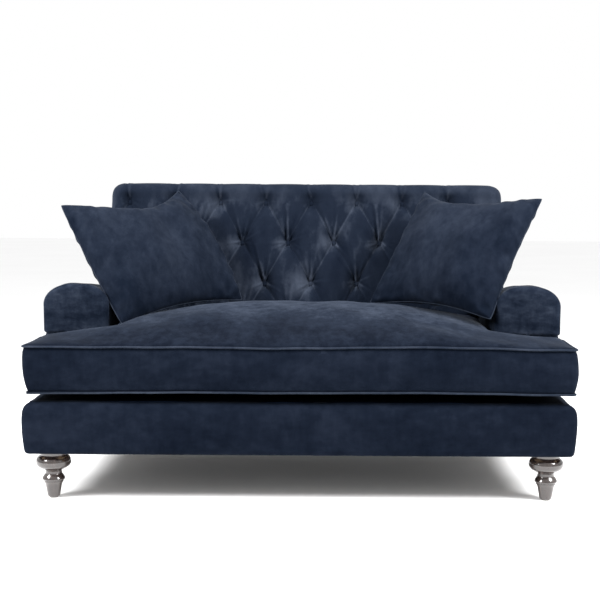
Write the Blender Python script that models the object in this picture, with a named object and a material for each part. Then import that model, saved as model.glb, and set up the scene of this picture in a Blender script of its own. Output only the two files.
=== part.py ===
"""Two-seater sofa on turned wooden legs, with set-back rolled arms and a deep-buttoned back.

Metres, +Z up. The front of the sofa faces -Y and the origin is on the floor, under the middle of
the whole sofa. Depths below are measured backwards from the foremost point of the seat cushion.
"""

import math

import bmesh
import bpy
from mathutils import Vector

# Clearances
GAP = 0.0003  # between faces that touch
CUSHION_CLEARANCE = 0.005  # beside and behind the loose seat cushion
TUFT_CLEARANCE = 0.0008  # round a button and its twine
BOLT_CLEARANCE = 0.0004  # round a leg bolt

# Overall
WIDTH = 1.60  # over the arms
DEPTH = 0.95  # front of the seat cushion to the outside back

# Legs
LEG_HEIGHT = 0.142
LEG_INSET = 0.072  # leg centre to the ends and the front and back of the sofa
LEG_TOP_RADIUS = 0.040
BUN_RADIUS = 0.0515
BUN_BELOW_TOP = 0.038
NECK_RADIUS = 0.0238
COLLAR_RADIUS = 0.0335
ANKLE_RADIUS = 0.0222
FOOT_RADIUS = 0.0170
REAR_TOP_RADIUS = 0.030
GLIDE_RADIUS = 0.0125
GLIDE_HEIGHT = 0.004
BOLT_RADIUS = 0.004
BOLT_IN_LEG = 0.032
BOLT_HEAD_RADIUS = 0.0075
BOLT_HEAD_HEIGHT = 0.005

# Base
RAIL_THICKNESS = 0.026
RAIL_HEIGHT = 0.122
BORDER_PADDING = 0.030
BORDER_SETBACK = 0.004  # behind the front of the cushion
BORDER_CORNER = 0.028
DECK_THICKNESS = 0.027
SEAT_BACK_RAIL_SETBACK = 0.052  # behind the foot of the back pad's front face
CENTRE_RAIL_WIDTH = 0.045
CENTRE_RAIL_HEIGHT = 0.055
CORNER_BLOCK = 0.100
CORNER_BLOCK_HEIGHT = 0.075
DUST_COVER_THICKNESS = 0.0022
DUST_COVER_INSET = 0.009
SPRING_COUNT = 4
SPRING_PITCH = 0.270
SPRING_WIRE_RADIUS = 0.002
SPRING_HALF_WIDTH = 0.024
SPRING_WAVES = 9
SPRING_POINTS_PER_WAVE = 8
SPRING_END_INSET = 0.006

# Arms
ARM_WIDTH = 0.205
ARM_HEIGHT = 0.326  # above the deck
ARM_SETBACK = 0.250  # arm front behind the front of the cushion
ARM_CORNER_ACROSS = 0.085  # the rolled shoulder of the arm, half an ellipse on each side
ARM_CORNER_DOWN = 0.065
ARM_ROLL_HEIGHT = 0.150  # from the top of the arm to the underside of its roll
ARM_FACING_THICKNESS = 0.015
ARM_INNER_PADDING = 0.020
ARM_OUTER_PADDING = 0.015
ARM_TOP_PADDING = 0.105  # deep, so that the arms can be dressed to slope down backwards
ARM_RAIL_THICKNESS = 0.025
OUTSIDE_PANEL_THICKNESS = 0.012
OUTSIDE_PANEL_INSET = 0.003  # the roll stands proud of the outside panel by this much
POST_THICKNESS = 0.025
ARM_CURVE_STEPS = 5

# Back
BACK_OVER_ARM = 0.093  # the back reaches this far over each arm
BACK_RISE = 0.320  # above the arms
BACK_FOOT_DEPTH = 0.339  # foot of the pad's front face to the outside back
BACK_UPRIGHT_FACE = 0.124  # the pad's face is upright for this far above the deck
BACK_LEAN = 0.305  # backwards for each metre upwards
BACK_PAD_DEPTH = 0.125
BACK_ROLL = 0.036  # rounding of the front top edge
BACK_CORNER = 0.055  # rounding of the top corners of the outside back
OUTSIDE_BACK_THICKNESS = 0.014
TOP_RAIL_HEIGHT = 0.090
TOP_PADDING = 0.035
TOP_RAIL_INSET = 0.015
SIDE_PANEL_THICKNESS = 0.0147
UPRIGHT_THICKNESS = 0.022
LOWER_RAIL_ABOVE_DECK = 0.012
LOWER_RAIL_HEIGHT = 0.060
LOWER_RAIL_THICKNESS = 0.030
STRAP_COUNT = 3
STRAP_PITCH = 0.330
STRAP_WIDTH = 0.050
STRAP_THICKNESS = 0.002
TAPE_THICKNESS = 0.0015
TAPE_WIDTH = 0.020

# Deep buttoning
BUTTON_RADIUS = 0.0115
BUTTON_HEIGHT = 0.008
BUTTON_PITCH = 0.159  # across
BUTTON_ROWS = 4
BUTTON_ROW_PITCH = 0.139  # in height
BUTTON_TOP_ROW_DROP = 0.057  # below the top of the back
BUTTON_GRID_SHIFT = 0.017  # the buttoning sits this far to the right of the middle
BUTTON_MARGIN = 0.045  # least distance from a button to the edge of the pad
TUFT_DEPTH = 0.034
TUFT_MOUTH_RADIUS = 0.030
TWINE_RADIUS = 0.0015
TUFT_SIDES = 8

# Loose cushions
CUSHION_SIDE_OVERHANG = 0.003  # beyond the base at each end
CUSHION_EDGE_LIFT = 0.031  # the lower welt hangs this far above the deck
CUSHION_BORDER = 0.128  # between the welts
CUSHION_CROWN = 0.095
CUSHION_EAR_CROWN = 0.018
CUSHION_EAR_CLEARANCE = 0.006  # from the ears to the arm fronts
PILLOW_SIZE = 0.430
PILLOW_THICKNESS = 0.130
PILLOW_PULL_IN = 0.022
PILLOW_INSET = 0.106  # pillow centre from the inside of the arm
PILLOW_FORWARD = 0.153  # pillow centre in front of the foot of the back
PILLOW_TURN = math.radians(34.5)
PILLOW_LEAN = math.radians(34.5)
PILLOW_ABOVE_ARM = {"left": 0.086, "right": 0.098}  # pillow centre above the top of the arm
PILLOW_ABOVE_WELT = {"left": 0.253, "right": 0.265}  # and above the cushion's upper welt
PILLOW_ROLL = {"left": math.radians(9), "right": math.radians(4)}
PILLOW_GRID = 8

# Worked out from the sizes above
HALF_WIDTH = WIDTH / 2
ARM_INNER = HALF_WIDTH - ARM_WIDTH
BACK_HALF_WIDTH = ARM_INNER + BACK_OVER_ARM
RAIL_BOTTOM = LEG_HEIGHT + GAP
RAIL_TOP = LEG_HEIGHT + RAIL_HEIGHT
DECK_BOTTOM = RAIL_TOP + 2 * GAP + 2 * SPRING_WIRE_RADIUS
DECK_TOP = DECK_BOTTOM + DECK_THICKNESS
ARM_TOP = DECK_TOP + ARM_HEIGHT
ARM_ROLL_BOTTOM = ARM_TOP - ARM_ROLL_HEIGHT
BACK_TOP = ARM_TOP + BACK_RISE
BACK_FRONT_DEPTH = DEPTH - BACK_FOOT_DEPTH
BACK_LEAN_HEIGHT = DECK_TOP + BACK_UPRIGHT_FACE
FRAME_FRONT = BORDER_SETBACK + BORDER_PADDING + GAP
FRAME_REAR = DEPTH - OUTSIDE_BACK_THICKNESS - GAP
FRAME_SIDE = HALF_WIDTH - BORDER_PADDING - GAP
RAIL_INNER_SIDE = FRAME_SIDE - RAIL_THICKNESS
REAR_RAIL_FRONT = FRAME_REAR - RAIL_THICKNESS
SEAT_BACK_RAIL_DEPTH = BACK_FRONT_DEPTH + SEAT_BACK_RAIL_SETBACK
SEAT_BACK_RAIL_REAR = SEAT_BACK_RAIL_DEPTH + RAIL_THICKNESS
LEG_X = HALF_WIDTH - LEG_INSET
LEG_FRONT_DEPTH = BORDER_SETBACK + LEG_INSET
LEG_REAR_DEPTH = DEPTH - LEG_INSET
FACING_REAR = ARM_SETBACK + ARM_FACING_THICKNESS
ARM_BODY_FRONT = FACING_REAR + GAP
ARM_CAVITY_TOP = ARM_TOP - ARM_TOP_PADDING
ARM_RAIL_BOTTOM = ARM_CAVITY_TOP - GAP - ARM_RAIL_THICKNESS
ARM_FRAME_INNER = ARM_INNER + ARM_INNER_PADDING + GAP
OUTSIDE_PANEL_OUTER = HALF_WIDTH - OUTSIDE_PANEL_INSET
ARM_FRAME_OUTER = OUTSIDE_PANEL_OUTER - OUTSIDE_PANEL_THICKNESS - GAP
TOP_RAIL_TOP = BACK_TOP - TOP_PADDING - GAP
TOP_RAIL_BOTTOM = TOP_RAIL_TOP - TOP_RAIL_HEIGHT
LOWER_RAIL_BOTTOM = DECK_TOP + LOWER_RAIL_ABOVE_DECK
BUTTON_TOP_ROW_HEIGHT = BACK_TOP - BUTTON_TOP_ROW_DROP
CUSHION_WELT_BOTTOM = DECK_TOP + CUSHION_EDGE_LIFT
CUSHION_WELT_TOP = CUSHION_WELT_BOTTOM + CUSHION_BORDER
CUSHION_EAR_REAR = ARM_SETBACK - CUSHION_EAR_CLEARANCE


def y_at(depth):
    """World Y of a depth measured from the front of the cushion."""
    return depth - DEPTH / 2


def face_depth(z):
    """Depth of the leaning front face of the back pad."""
    return BACK_FRONT_DEPTH + BACK_LEAN * (z - BACK_LEAN_HEIGHT)


def frame_depth(z):
    """Depth of the leaning front face of the back frame."""
    return face_depth(z) + BACK_PAD_DEPTH


def pad_rear_depth(z):
    """Depth of the rear of the back pad, in front of the tapes and the straps."""
    return frame_depth(z) - STRAP_THICKNESS - TAPE_THICKNESS - 3 * GAP


def clear_scene():
    for obj in list(bpy.data.objects):
        bpy.data.objects.remove(obj, do_unlink=True)


def finish(name, colour, roughness, metallic=0.0):
    """A plain Principled material."""
    material = bpy.data.materials.new(name)
    material.use_nodes = True
    shader = material.node_tree.nodes["Principled BSDF"]
    shader.inputs["Base Color"].default_value = (*colour, 1.0)
    shader.inputs["Roughness"].default_value = roughness
    shader.inputs["Metallic"].default_value = metallic
    material.diffuse_color = (*colour, 1.0)
    return material


def mesh_of(name, bm, material, smooth=False, wound=False):
    """Turns a bmesh into a mesh with one material, facing outwards unless it is wound already."""
    if not wound:
        bmesh.ops.recalc_face_normals(bm, faces=bm.faces)
    mesh = bpy.data.meshes.new(name)
    bm.to_mesh(mesh)
    bm.free()
    if material:
        mesh.materials.append(material)
    if smooth:
        mesh.shade_smooth()
        mesh.set_sharp_from_angle(angle=math.radians(40))
    return mesh


def add(name, mesh, location=(0.0, 0.0, 0.0), rotation=(0.0, 0.0, 0.0)):
    obj = bpy.data.objects.new(name, mesh)
    obj.location = location
    obj.rotation_euler = rotation
    bpy.context.collection.objects.link(obj)
    return obj


def as_cutter(obj):
    obj.hide_render = True
    obj.display_type = "WIRE"
    return obj


def boolean(obj, other, operation):
    modifier = obj.modifiers.new(operation.title(), "BOOLEAN")
    modifier.operation = operation
    modifier.solver = "EXACT"
    modifier.object = other


def board(name, across, depths, heights, material):
    """A rectangular piece given by its limits in X, in depth and in Z."""
    bm = bmesh.new()
    bmesh.ops.create_cube(bm, size=1.0)
    centre = Vector((sum(across) / 2, y_at(sum(depths) / 2), sum(heights) / 2))
    size = (across[1] - across[0], depths[1] - depths[0], heights[1] - heights[0])
    bmesh.ops.scale(bm, vec=size, verts=bm.verts)
    return add(name, mesh_of(name, bm, material), centre)


def prism(name, outline, along, span, material):
    """An outline extruded along X, Y or Z.

    The outline is a list of (depth, z) points for X, (x, z) for Y or (x, depth) for Z. The span
    is in X, in depth or in Z.
    """
    if along == "X":
        first = [(span[0], y_at(depth), z) for depth, z in outline]
        step = (span[1] - span[0], 0.0, 0.0)
    elif along == "Y":
        first = [(x, y_at(span[0]), z) for x, z in outline]
        step = (0.0, span[1] - span[0], 0.0)
    else:
        first = [(x, y_at(depth), span[0]) for x, depth in outline]
        step = (0.0, 0.0, span[1] - span[0])
    bm = bmesh.new()
    start = bm.faces.new([bm.verts.new(point) for point in first])
    far = bmesh.ops.extrude_face_region(bm, geom=[start], use_keep_orig=True)["geom"]
    far_points = [item for item in far if isinstance(item, bmesh.types.BMVert)]
    bmesh.ops.translate(bm, vec=step, verts=far_points)
    return add(name, mesh_of(name, bm, material))


def turned_mesh(name, profile, material, sides):
    """A profile of (radius, z) points spun about Z, with both ends on the axis."""
    bm = bmesh.new()
    points = [bm.verts.new((radius, 0.0, z)) for radius, z in profile]
    edges = [bm.edges.new(pair) for pair in zip(points, points[1:])]
    bmesh.ops.spin(
        bm, geom=points + edges, cent=(0, 0, 0), axis=(0, 0, 1), angle=math.tau, steps=sides
    )
    bmesh.ops.remove_doubles(bm, verts=bm.verts, dist=1e-6)
    return mesh_of(name, bm, material, smooth=True)


def mirrored(outline, side):
    """The outline of (x, z) points on the given side, +1 right or -1 left."""
    return [(side * x, z) for x, z in outline]


def arc(centre, radii, start, end, steps):
    """Points of an elliptical arc, its angles in degrees."""
    angles = [math.radians(start + (end - start) * i / steps) for i in range(steps + 1)]
    return [
        (centre[0] + radii[0] * math.cos(a), centre[1] + radii[1] * math.sin(a)) for a in angles
    ]


# ---------------------------------------------------------------- wooden frame


def build_base_frame(wood):
    heights = (RAIL_BOTTOM, RAIL_TOP)
    across = (-RAIL_INNER_SIDE + GAP, RAIL_INNER_SIDE - GAP)
    board("front_rail", across, (FRAME_FRONT, FRAME_FRONT + RAIL_THICKNESS), heights, wood)
    board("rear_rail", across, (REAR_RAIL_FRONT, FRAME_REAR), heights, wood)
    board("seat_back_rail", across, (SEAT_BACK_RAIL_DEPTH, SEAT_BACK_RAIL_REAR), heights, wood)
    for side, word in ((-1, "left"), (1, "right")):
        limits = sorted((side * RAIL_INNER_SIDE, side * FRAME_SIDE))
        board(f"side_rail_{word}", limits, (FRAME_FRONT, FRAME_REAR), heights, wood)
    board(
        "centre_rail",
        (-CENTRE_RAIL_WIDTH / 2, CENTRE_RAIL_WIDTH / 2),
        (FRAME_FRONT + RAIL_THICKNESS + GAP, SEAT_BACK_RAIL_DEPTH - GAP),
        (RAIL_BOTTOM, RAIL_BOTTOM + CENTRE_RAIL_HEIGHT),
        wood,
    )


def leg_places():
    """(name, x, depth) of each leg."""
    for side, word in ((-1, "left"), (1, "right")):
        yield f"front_{word}", side * LEG_X, LEG_FRONT_DEPTH
        yield f"rear_{word}", side * LEG_X, LEG_REAR_DEPTH


def build_corner_blocks(wood):
    """Square blocks glued into the corners of the base, each drilled for its leg bolt."""
    bm = bmesh.new()
    for _, x, depth in leg_places():
        made = bmesh.ops.create_cone(
            bm,
            cap_ends=True,
            segments=12,
            radius1=BOLT_RADIUS + BOLT_CLEARANCE,
            radius2=BOLT_RADIUS + BOLT_CLEARANCE,
            depth=3 * CORNER_BLOCK_HEIGHT,
        )
        middle = RAIL_BOTTOM + CORNER_BLOCK_HEIGHT / 2
        bmesh.ops.translate(bm, vec=(x, y_at(depth), middle), verts=made["verts"])
    drill = as_cutter(add("bolt_drill", mesh_of("bolt_drill", bm, None)))
    inner_front = FRAME_FRONT + RAIL_THICKNESS + GAP
    inner_rear = REAR_RAIL_FRONT - GAP
    for name, x, _ in leg_places():
        side = math.copysign(1, x)
        corner = side * (RAIL_INNER_SIDE - GAP)
        depths = (inner_front, inner_front + CORNER_BLOCK)
        if name.startswith("rear"):
            depths = (inner_rear - CORNER_BLOCK, inner_rear)
        block = board(
            f"corner_block_{name}",
            sorted((corner, corner - side * CORNER_BLOCK)),
            depths,
            (RAIL_BOTTOM, RAIL_BOTTOM + CORNER_BLOCK_HEIGHT),
            wood,
        )
        boolean(block, drill, "DIFFERENCE")


def build_arm_frame(side, word, wood):
    limits = sorted((side * ARM_FRAME_INNER, side * ARM_FRAME_OUTER))
    heights = (RAIL_TOP + GAP, ARM_RAIL_BOTTOM - GAP)
    front = (ARM_BODY_FRONT, ARM_BODY_FRONT + POST_THICKNESS)
    rear = (FRAME_REAR - POST_THICKNESS, FRAME_REAR)
    board(f"arm_front_post_{word}", limits, front, heights, wood)
    board(f"arm_rear_post_{word}", limits, rear, heights, wood)
    board(
        f"arm_top_rail_{word}",
        limits,
        (ARM_BODY_FRONT, FRAME_REAR),
        (ARM_RAIL_BOTTOM, ARM_RAIL_BOTTOM + ARM_RAIL_THICKNESS),
        wood,
    )


def build_back_frame(wood):
    """Two shaped plywood uprights between the seat back rail and the rear rail, and two rails."""
    foot = SEAT_BACK_RAIL_REAR + GAP
    stand = RAIL_TOP + GAP
    top = TOP_RAIL_BOTTOM - GAP
    upright = [
        (foot, RAIL_BOTTOM),
        (REAR_RAIL_FRONT - GAP, RAIL_BOTTOM),
        (REAR_RAIL_FRONT - GAP, stand),
        (FRAME_REAR, stand),
        (FRAME_REAR, top),
        (frame_depth(top), top),
        (max(foot, frame_depth(stand)), stand),
        (foot, RAIL_TOP),
    ]
    outer = ARM_INNER - GAP
    inner = outer - UPRIGHT_THICKNESS
    for side, word in ((-1, "left"), (1, "right")):
        limits = sorted((side * inner, side * outer))
        prism(f"back_upright_{word}", upright, "X", limits, wood)
    top_rail = [
        (frame_depth(TOP_RAIL_BOTTOM), TOP_RAIL_BOTTOM),
        (FRAME_REAR, TOP_RAIL_BOTTOM),
        (FRAME_REAR, TOP_RAIL_TOP),
        (frame_depth(TOP_RAIL_TOP), TOP_RAIL_TOP),
    ]
    reach = BACK_HALF_WIDTH - TOP_RAIL_INSET
    prism("back_top_rail", top_rail, "X", (-reach, reach), wood)
    low, high = LOWER_RAIL_BOTTOM, LOWER_RAIL_BOTTOM + LOWER_RAIL_HEIGHT
    lower_rail = [
        (frame_depth(low), low),
        (frame_depth(low) + LOWER_RAIL_THICKNESS, low),
        (frame_depth(high) + LOWER_RAIL_THICKNESS, high),
        (frame_depth(high), high),
    ]
    prism("back_lower_rail", lower_rail, "X", (-inner + GAP, inner - GAP), wood)


# ---------------------------------------------------------------- springs and webbing


def build_springs(steel):
    """Zigzag springs from the front rail to the seat back rail, all from one curve."""
    start = FRAME_FRONT + SPRING_END_INSET
    end = SEAT_BACK_RAIL_REAR - SPRING_END_INSET
    count = SPRING_WAVES * SPRING_POINTS_PER_WAVE
    curve = bpy.data.curves.new("seat_spring", "CURVE")
    curve.dimensions = "3D"
    curve.bevel_depth = SPRING_WIRE_RADIUS
    curve.bevel_resolution = 0
    curve.use_fill_caps = True
    spline = curve.splines.new("POLY")
    spline.points.add(count)
    for i in range(count + 1):
        x = SPRING_HALF_WIDTH * math.sin(math.tau * i / SPRING_POINTS_PER_WAVE)
        spline.points[i].co = (x, (end - start) * i / count, 0.0, 1.0)
    curve.materials.append(steel)
    height = RAIL_TOP + GAP + SPRING_WIRE_RADIUS
    for i in range(SPRING_COUNT):
        x = (i - (SPRING_COUNT - 1) / 2) * SPRING_PITCH
        add(f"seat_spring_{i + 1}", curve, (x, y_at(start), height))


def build_back_straps(webbing):
    low = LOWER_RAIL_BOTTOM
    high = TOP_RAIL_TOP
    near = GAP + STRAP_THICKNESS
    outline = [
        (frame_depth(low) - near, low),
        (frame_depth(low) - GAP, low),
        (frame_depth(high) - GAP, high),
        (frame_depth(high) - near, high),
    ]
    for i in range(STRAP_COUNT):
        x = (i - (STRAP_COUNT - 1) / 2) * STRAP_PITCH
        limits = (x - STRAP_WIDTH / 2, x + STRAP_WIDTH / 2)
        prism(f"back_strap_{i + 1}", outline, "X", limits, webbing)


# ---------------------------------------------------------------- base upholstery


def build_deck(felt):
    """The felt deck: wide in front of the arms, narrower between them."""
    front, wide_to = FRAME_FRONT, FACING_REAR
    rear = SEAT_BACK_RAIL_REAR
    side, narrow = FRAME_SIDE, ARM_INNER - GAP
    half = [(side, front), (side, wide_to), (narrow, wide_to), (narrow, rear)]
    outline = half + [(-x, depth) for x, depth in reversed(half)]
    prism("seat_deck", outline, "Z", (DECK_BOTTOM, DECK_TOP), felt)


def build_dust_cover(cambric):
    """A thin cloth under the base, cut away round the legs."""
    side = FRAME_SIDE - DUST_COVER_INSET
    front = FRAME_FRONT + DUST_COVER_INSET
    rear = FRAME_REAR - DUST_COVER_INSET
    notch_x = LEG_X - BUN_RADIUS
    notch_front = LEG_FRONT_DEPTH + BUN_RADIUS
    notch_rear = LEG_REAR_DEPTH - BUN_RADIUS
    half = [
        (notch_x, front),
        (notch_x, notch_front),
        (side, notch_front),
        (side, notch_rear),
        (notch_x, notch_rear),
        (notch_x, rear),
    ]
    outline = half + [(-x, depth) for x, depth in reversed(half)]
    heights = (LEG_HEIGHT - DUST_COVER_THICKNESS, LEG_HEIGHT)
    prism("dust_cover", outline, "Z", heights, cambric)


def build_front_border(velvet):
    """The padded border of the base: across the front, round to the outside of the arms."""
    inner_side = HALF_WIDTH - BORDER_PADDING
    inner_front = BORDER_SETBACK + BORDER_PADDING
    rear = ARM_BODY_FRONT - GAP
    corner = arc(
        (HALF_WIDTH - BORDER_CORNER, BORDER_SETBACK + BORDER_CORNER),
        (BORDER_CORNER, BORDER_CORNER),
        -90,
        0,
        4,
    )
    half = corner + [(HALF_WIDTH, rear), (inner_side, rear), (inner_side, inner_front)]
    outline = half + [(-x, depth) for x, depth in reversed(half)]
    prism("front_border", outline, "Z", (RAIL_BOTTOM, DECK_TOP), velvet)


def arm_shoulder(outer):
    """The rolled top of the right arm from its outside to its inside, as (x, z) points."""
    across, down = ARM_CORNER_ACROSS, ARM_CORNER_DOWN
    base = ARM_TOP - down
    outside = arc((outer - across, base), (across, down), 0, 90, ARM_CURVE_STEPS)
    inside = arc((ARM_INNER + across, base), (across, down), 90, 180, ARM_CURVE_STEPS)
    return outside + inside


def build_arm_upholstery(side, word, velvet):
    cavity_in = ARM_INNER + ARM_INNER_PADDING
    cavity_out = HALF_WIDTH - ARM_OUTER_PADDING
    pad_foot = RAIL_TOP + GAP
    pad = (
        [(cavity_out, ARM_ROLL_BOTTOM), (HALF_WIDTH, ARM_ROLL_BOTTOM)]
        + arm_shoulder(HALF_WIDTH)
        + [(ARM_INNER, pad_foot), (cavity_in, pad_foot)]
        + [(cavity_in, ARM_CAVITY_TOP), (cavity_out, ARM_CAVITY_TOP)]
    )
    prism(f"arm_pad_{word}", mirrored(pad, side), "Y", (ARM_BODY_FRONT, FRAME_REAR), velvet)
    facing = (
        [(OUTSIDE_PANEL_OUTER, DECK_TOP + GAP)]
        + arm_shoulder(HALF_WIDTH)
        + [(ARM_INNER, DECK_TOP + GAP)]
    )
    depths = (ARM_SETBACK, FACING_REAR)
    prism(f"arm_facing_{word}", mirrored(facing, side), "Y", depths, velvet)
    outer, inner = OUTSIDE_PANEL_OUTER, OUTSIDE_PANEL_OUTER - OUTSIDE_PANEL_THICKNESS
    board(
        f"outside_arm_{word}",
        sorted((side * inner, side * outer)),
        (ARM_BODY_FRONT, FRAME_REAR),
        (RAIL_BOTTOM, ARM_ROLL_BOTTOM - GAP),
        velvet,
    )


# ---------------------------------------------------------------- back upholstery


def build_outside_back(velvet):
    """The flat rear cover, as wide as the arms below and as the back above."""
    low_side, top = OUTSIDE_PANEL_OUTER, BACK_TOP - BACK_ROLL / 2
    shoulder = arc(
        (low_side - ARM_CORNER_ACROSS, ARM_TOP - ARM_CORNER_DOWN),
        (ARM_CORNER_ACROSS, ARM_CORNER_DOWN),
        0,
        90,
        ARM_CURVE_STEPS,
    )
    corner = arc(
        (BACK_HALF_WIDTH - BACK_CORNER, top - BACK_CORNER), (BACK_CORNER, BACK_CORNER), 0, 90, 5
    )
    half = [(low_side, RAIL_BOTTOM)] + shoulder + [(BACK_HALF_WIDTH, ARM_TOP)] + corner
    outline = half + mirrored(reversed(half), -1)
    prism("outside_back", outline, "Y", (DEPTH - OUTSIDE_BACK_THICKNESS, DEPTH), velvet)


def build_back_side_panels(velvet):
    """The covers at the ends of the back, above the arms and behind the buttoned pad."""
    low, high = ARM_TOP + GAP, TOP_RAIL_TOP - BACK_CORNER / 2
    outline = [
        (frame_depth(low), low),
        (FRAME_REAR, low),
        (FRAME_REAR, high),
        (frame_depth(high), high),
    ]
    inner = BACK_HALF_WIDTH - SIDE_PANEL_THICKNESS
    for side, word in ((-1, "left"), (1, "right")):
        limits = sorted((side * inner, side * BACK_HALF_WIDTH))
        prism(f"back_side_panel_{word}", outline, "X", limits, velvet)


def button_row(row):
    """(x of each button, z where their axes meet the face of the pad), in a staggered grid."""
    z = BUTTON_TOP_ROW_HEIGHT - row * BUTTON_ROW_PITCH
    half = (BACK_HALF_WIDTH if z > ARM_TOP else ARM_INNER) - BUTTON_MARGIN
    start = BUTTON_GRID_SHIFT + (row % 2) * BUTTON_PITCH / 2
    most = math.ceil(2 * half / BUTTON_PITCH)
    places = [start + i * BUTTON_PITCH for i in range(-most, most + 1)]
    return [x for x in places if abs(x) <= half], z


def spun_into(bm, profile, x, z):
    """Adds a profile of (radius, distance in front of the face) spun about a button's axis."""
    points = [bm.verts.new((radius, 0.0, out)) for radius, out in profile]
    edges = [bm.edges.new(pair) for pair in zip(points, points[1:])]
    before = set(bm.verts) - set(points)
    bmesh.ops.spin(
        bm,
        geom=points + edges,
        cent=(0, 0, 0),
        axis=(0, 0, 1),
        angle=math.tau,
        steps=TUFT_SIDES,
    )
    made = [vert for vert in bm.verts if vert not in before]
    bmesh.ops.remove_doubles(bm, verts=made, dist=1e-6)
    made = [vert for vert in bm.verts if vert not in before]
    outwards = Vector((0.0, -1.0, BACK_LEAN)).normalized()
    turn = Vector((0, 0, 1)).rotation_difference(outwards).to_matrix()
    bmesh.ops.rotate(bm, cent=(0, 0, 0), matrix=turn, verts=made)
    bmesh.ops.translate(bm, vec=(x, y_at(face_depth(z)), z), verts=made)


def through_pad():
    """Distance along a button's axis from the face of the pad to the tape behind it."""
    return (BACK_PAD_DEPTH - STRAP_THICKNESS - TAPE_THICKNESS / 2 - 2 * GAP) / math.hypot(
        1.0, BACK_LEAN
    )


def build_tufted_back(velvet):
    """The back pad, hollowed at each button and pierced for its twine."""
    low, rail = DECK_TOP + GAP, BACK_TOP - TOP_PADDING
    shoulder = rail - 0.2 * BACK_ROLL
    rear_corner = (FRAME_REAR - BACK_ROLL / 2, BACK_TOP - BACK_ROLL / 2)
    outline = (
        [(BACK_FRONT_DEPTH, low), (BACK_FRONT_DEPTH, BACK_LEAN_HEIGHT)]
        + [(face_depth(shoulder), shoulder)]
        + arc(
            (face_depth(shoulder) + BACK_ROLL, BACK_TOP - BACK_ROLL),
            (BACK_ROLL, BACK_ROLL),
            170,
            90,
            4,
        )
        + arc(rear_corner, (BACK_ROLL / 2, BACK_ROLL / 2), 90, 0, 3)
        + [(FRAME_REAR, rail), (pad_rear_depth(rail), rail), (pad_rear_depth(low), low)]
    )
    pad = prism("tufted_back", outline, "X", (-BACK_HALF_WIDTH, BACK_HALF_WIDTH), velvet)
    bm = bmesh.new()
    hole = TWINE_RADIUS + TUFT_CLEARANCE
    seat = BUTTON_RADIUS + TUFT_CLEARANCE
    slope = (TUFT_MOUTH_RADIUS - seat) / TUFT_DEPTH
    past = 0.5 * TUFT_DEPTH
    pocket = [
        (0.0, past),
        (TUFT_MOUTH_RADIUS + slope * past, past),
        (seat, -TUFT_DEPTH),
        (hole, -TUFT_DEPTH),
        (hole, -2 * BACK_PAD_DEPTH),
        (0.0, -2 * BACK_PAD_DEPTH),
    ]
    for row in range(BUTTON_ROWS):
        places, z = button_row(row)
        for x in places:
            spun_into(bm, pocket, x, z)
    cutter = as_cutter(add("tuft_pockets", mesh_of("tuft_pockets", bm, None)))
    boolean(pad, cutter, "DIFFERENCE")
    bm = bmesh.new()
    reach = 2 * HALF_WIDTH
    for side in (-1, 1):
        made = bmesh.ops.create_cube(bm, size=1.0)["verts"]
        bmesh.ops.scale(bm, vec=(reach, 2 * DEPTH, ARM_TOP + GAP), verts=made)
        middle = (side * (ARM_INNER - GAP + reach / 2), 0.0, (ARM_TOP + GAP) / 2)
        bmesh.ops.translate(bm, vec=middle, verts=made)
    arms = as_cutter(add("arm_space", mesh_of("arm_space", bm, None)))
    boolean(pad, arms, "DIFFERENCE")


def build_button_rows(velvet):
    """Each row: a tape behind the pad, with its covered buttons tied to it by twine."""
    low_z = TAPE_WIDTH / 2
    sunk = TUFT_DEPTH - TUFT_CLEARANCE
    drop = through_pad() * BACK_LEAN / math.hypot(1.0, BACK_LEAN)
    pin = [
        (0.0, -sunk + BUTTON_HEIGHT),
        (0.6 * BUTTON_RADIUS, -sunk + 0.9 * BUTTON_HEIGHT),
        (BUTTON_RADIUS, -sunk + 0.45 * BUTTON_HEIGHT),
        (0.85 * BUTTON_RADIUS, -sunk),
        (TWINE_RADIUS, -sunk),
        (TWINE_RADIUS, -through_pad()),
        (0.0, -through_pad()),
    ]
    for row in range(BUTTON_ROWS):
        places, face_z = button_row(row)
        z = face_z - drop
        near = STRAP_THICKNESS + TAPE_THICKNESS + 2 * GAP
        far = STRAP_THICKNESS + 2 * GAP
        outline = [
            (frame_depth(z - low_z) - near, z - low_z),
            (frame_depth(z - low_z) - far, z - low_z),
            (frame_depth(z + low_z) - far, z + low_z),
            (frame_depth(z + low_z) - near, z + low_z),
        ]
        limits = (min(places) - TAPE_WIDTH, max(places) + TAPE_WIDTH)
        tape = prism(f"button_row_{row + 1}", outline, "X", limits, velvet)
        bm = bmesh.new()
        for x in places:
            spun_into(bm, pin, x, face_z)
        name = f"button_pins_{row + 1}"
        pins = as_cutter(add(name, mesh_of(name, bm, None)))
        boolean(tape, pins, "UNION")


# ---------------------------------------------------------------- legs


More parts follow.
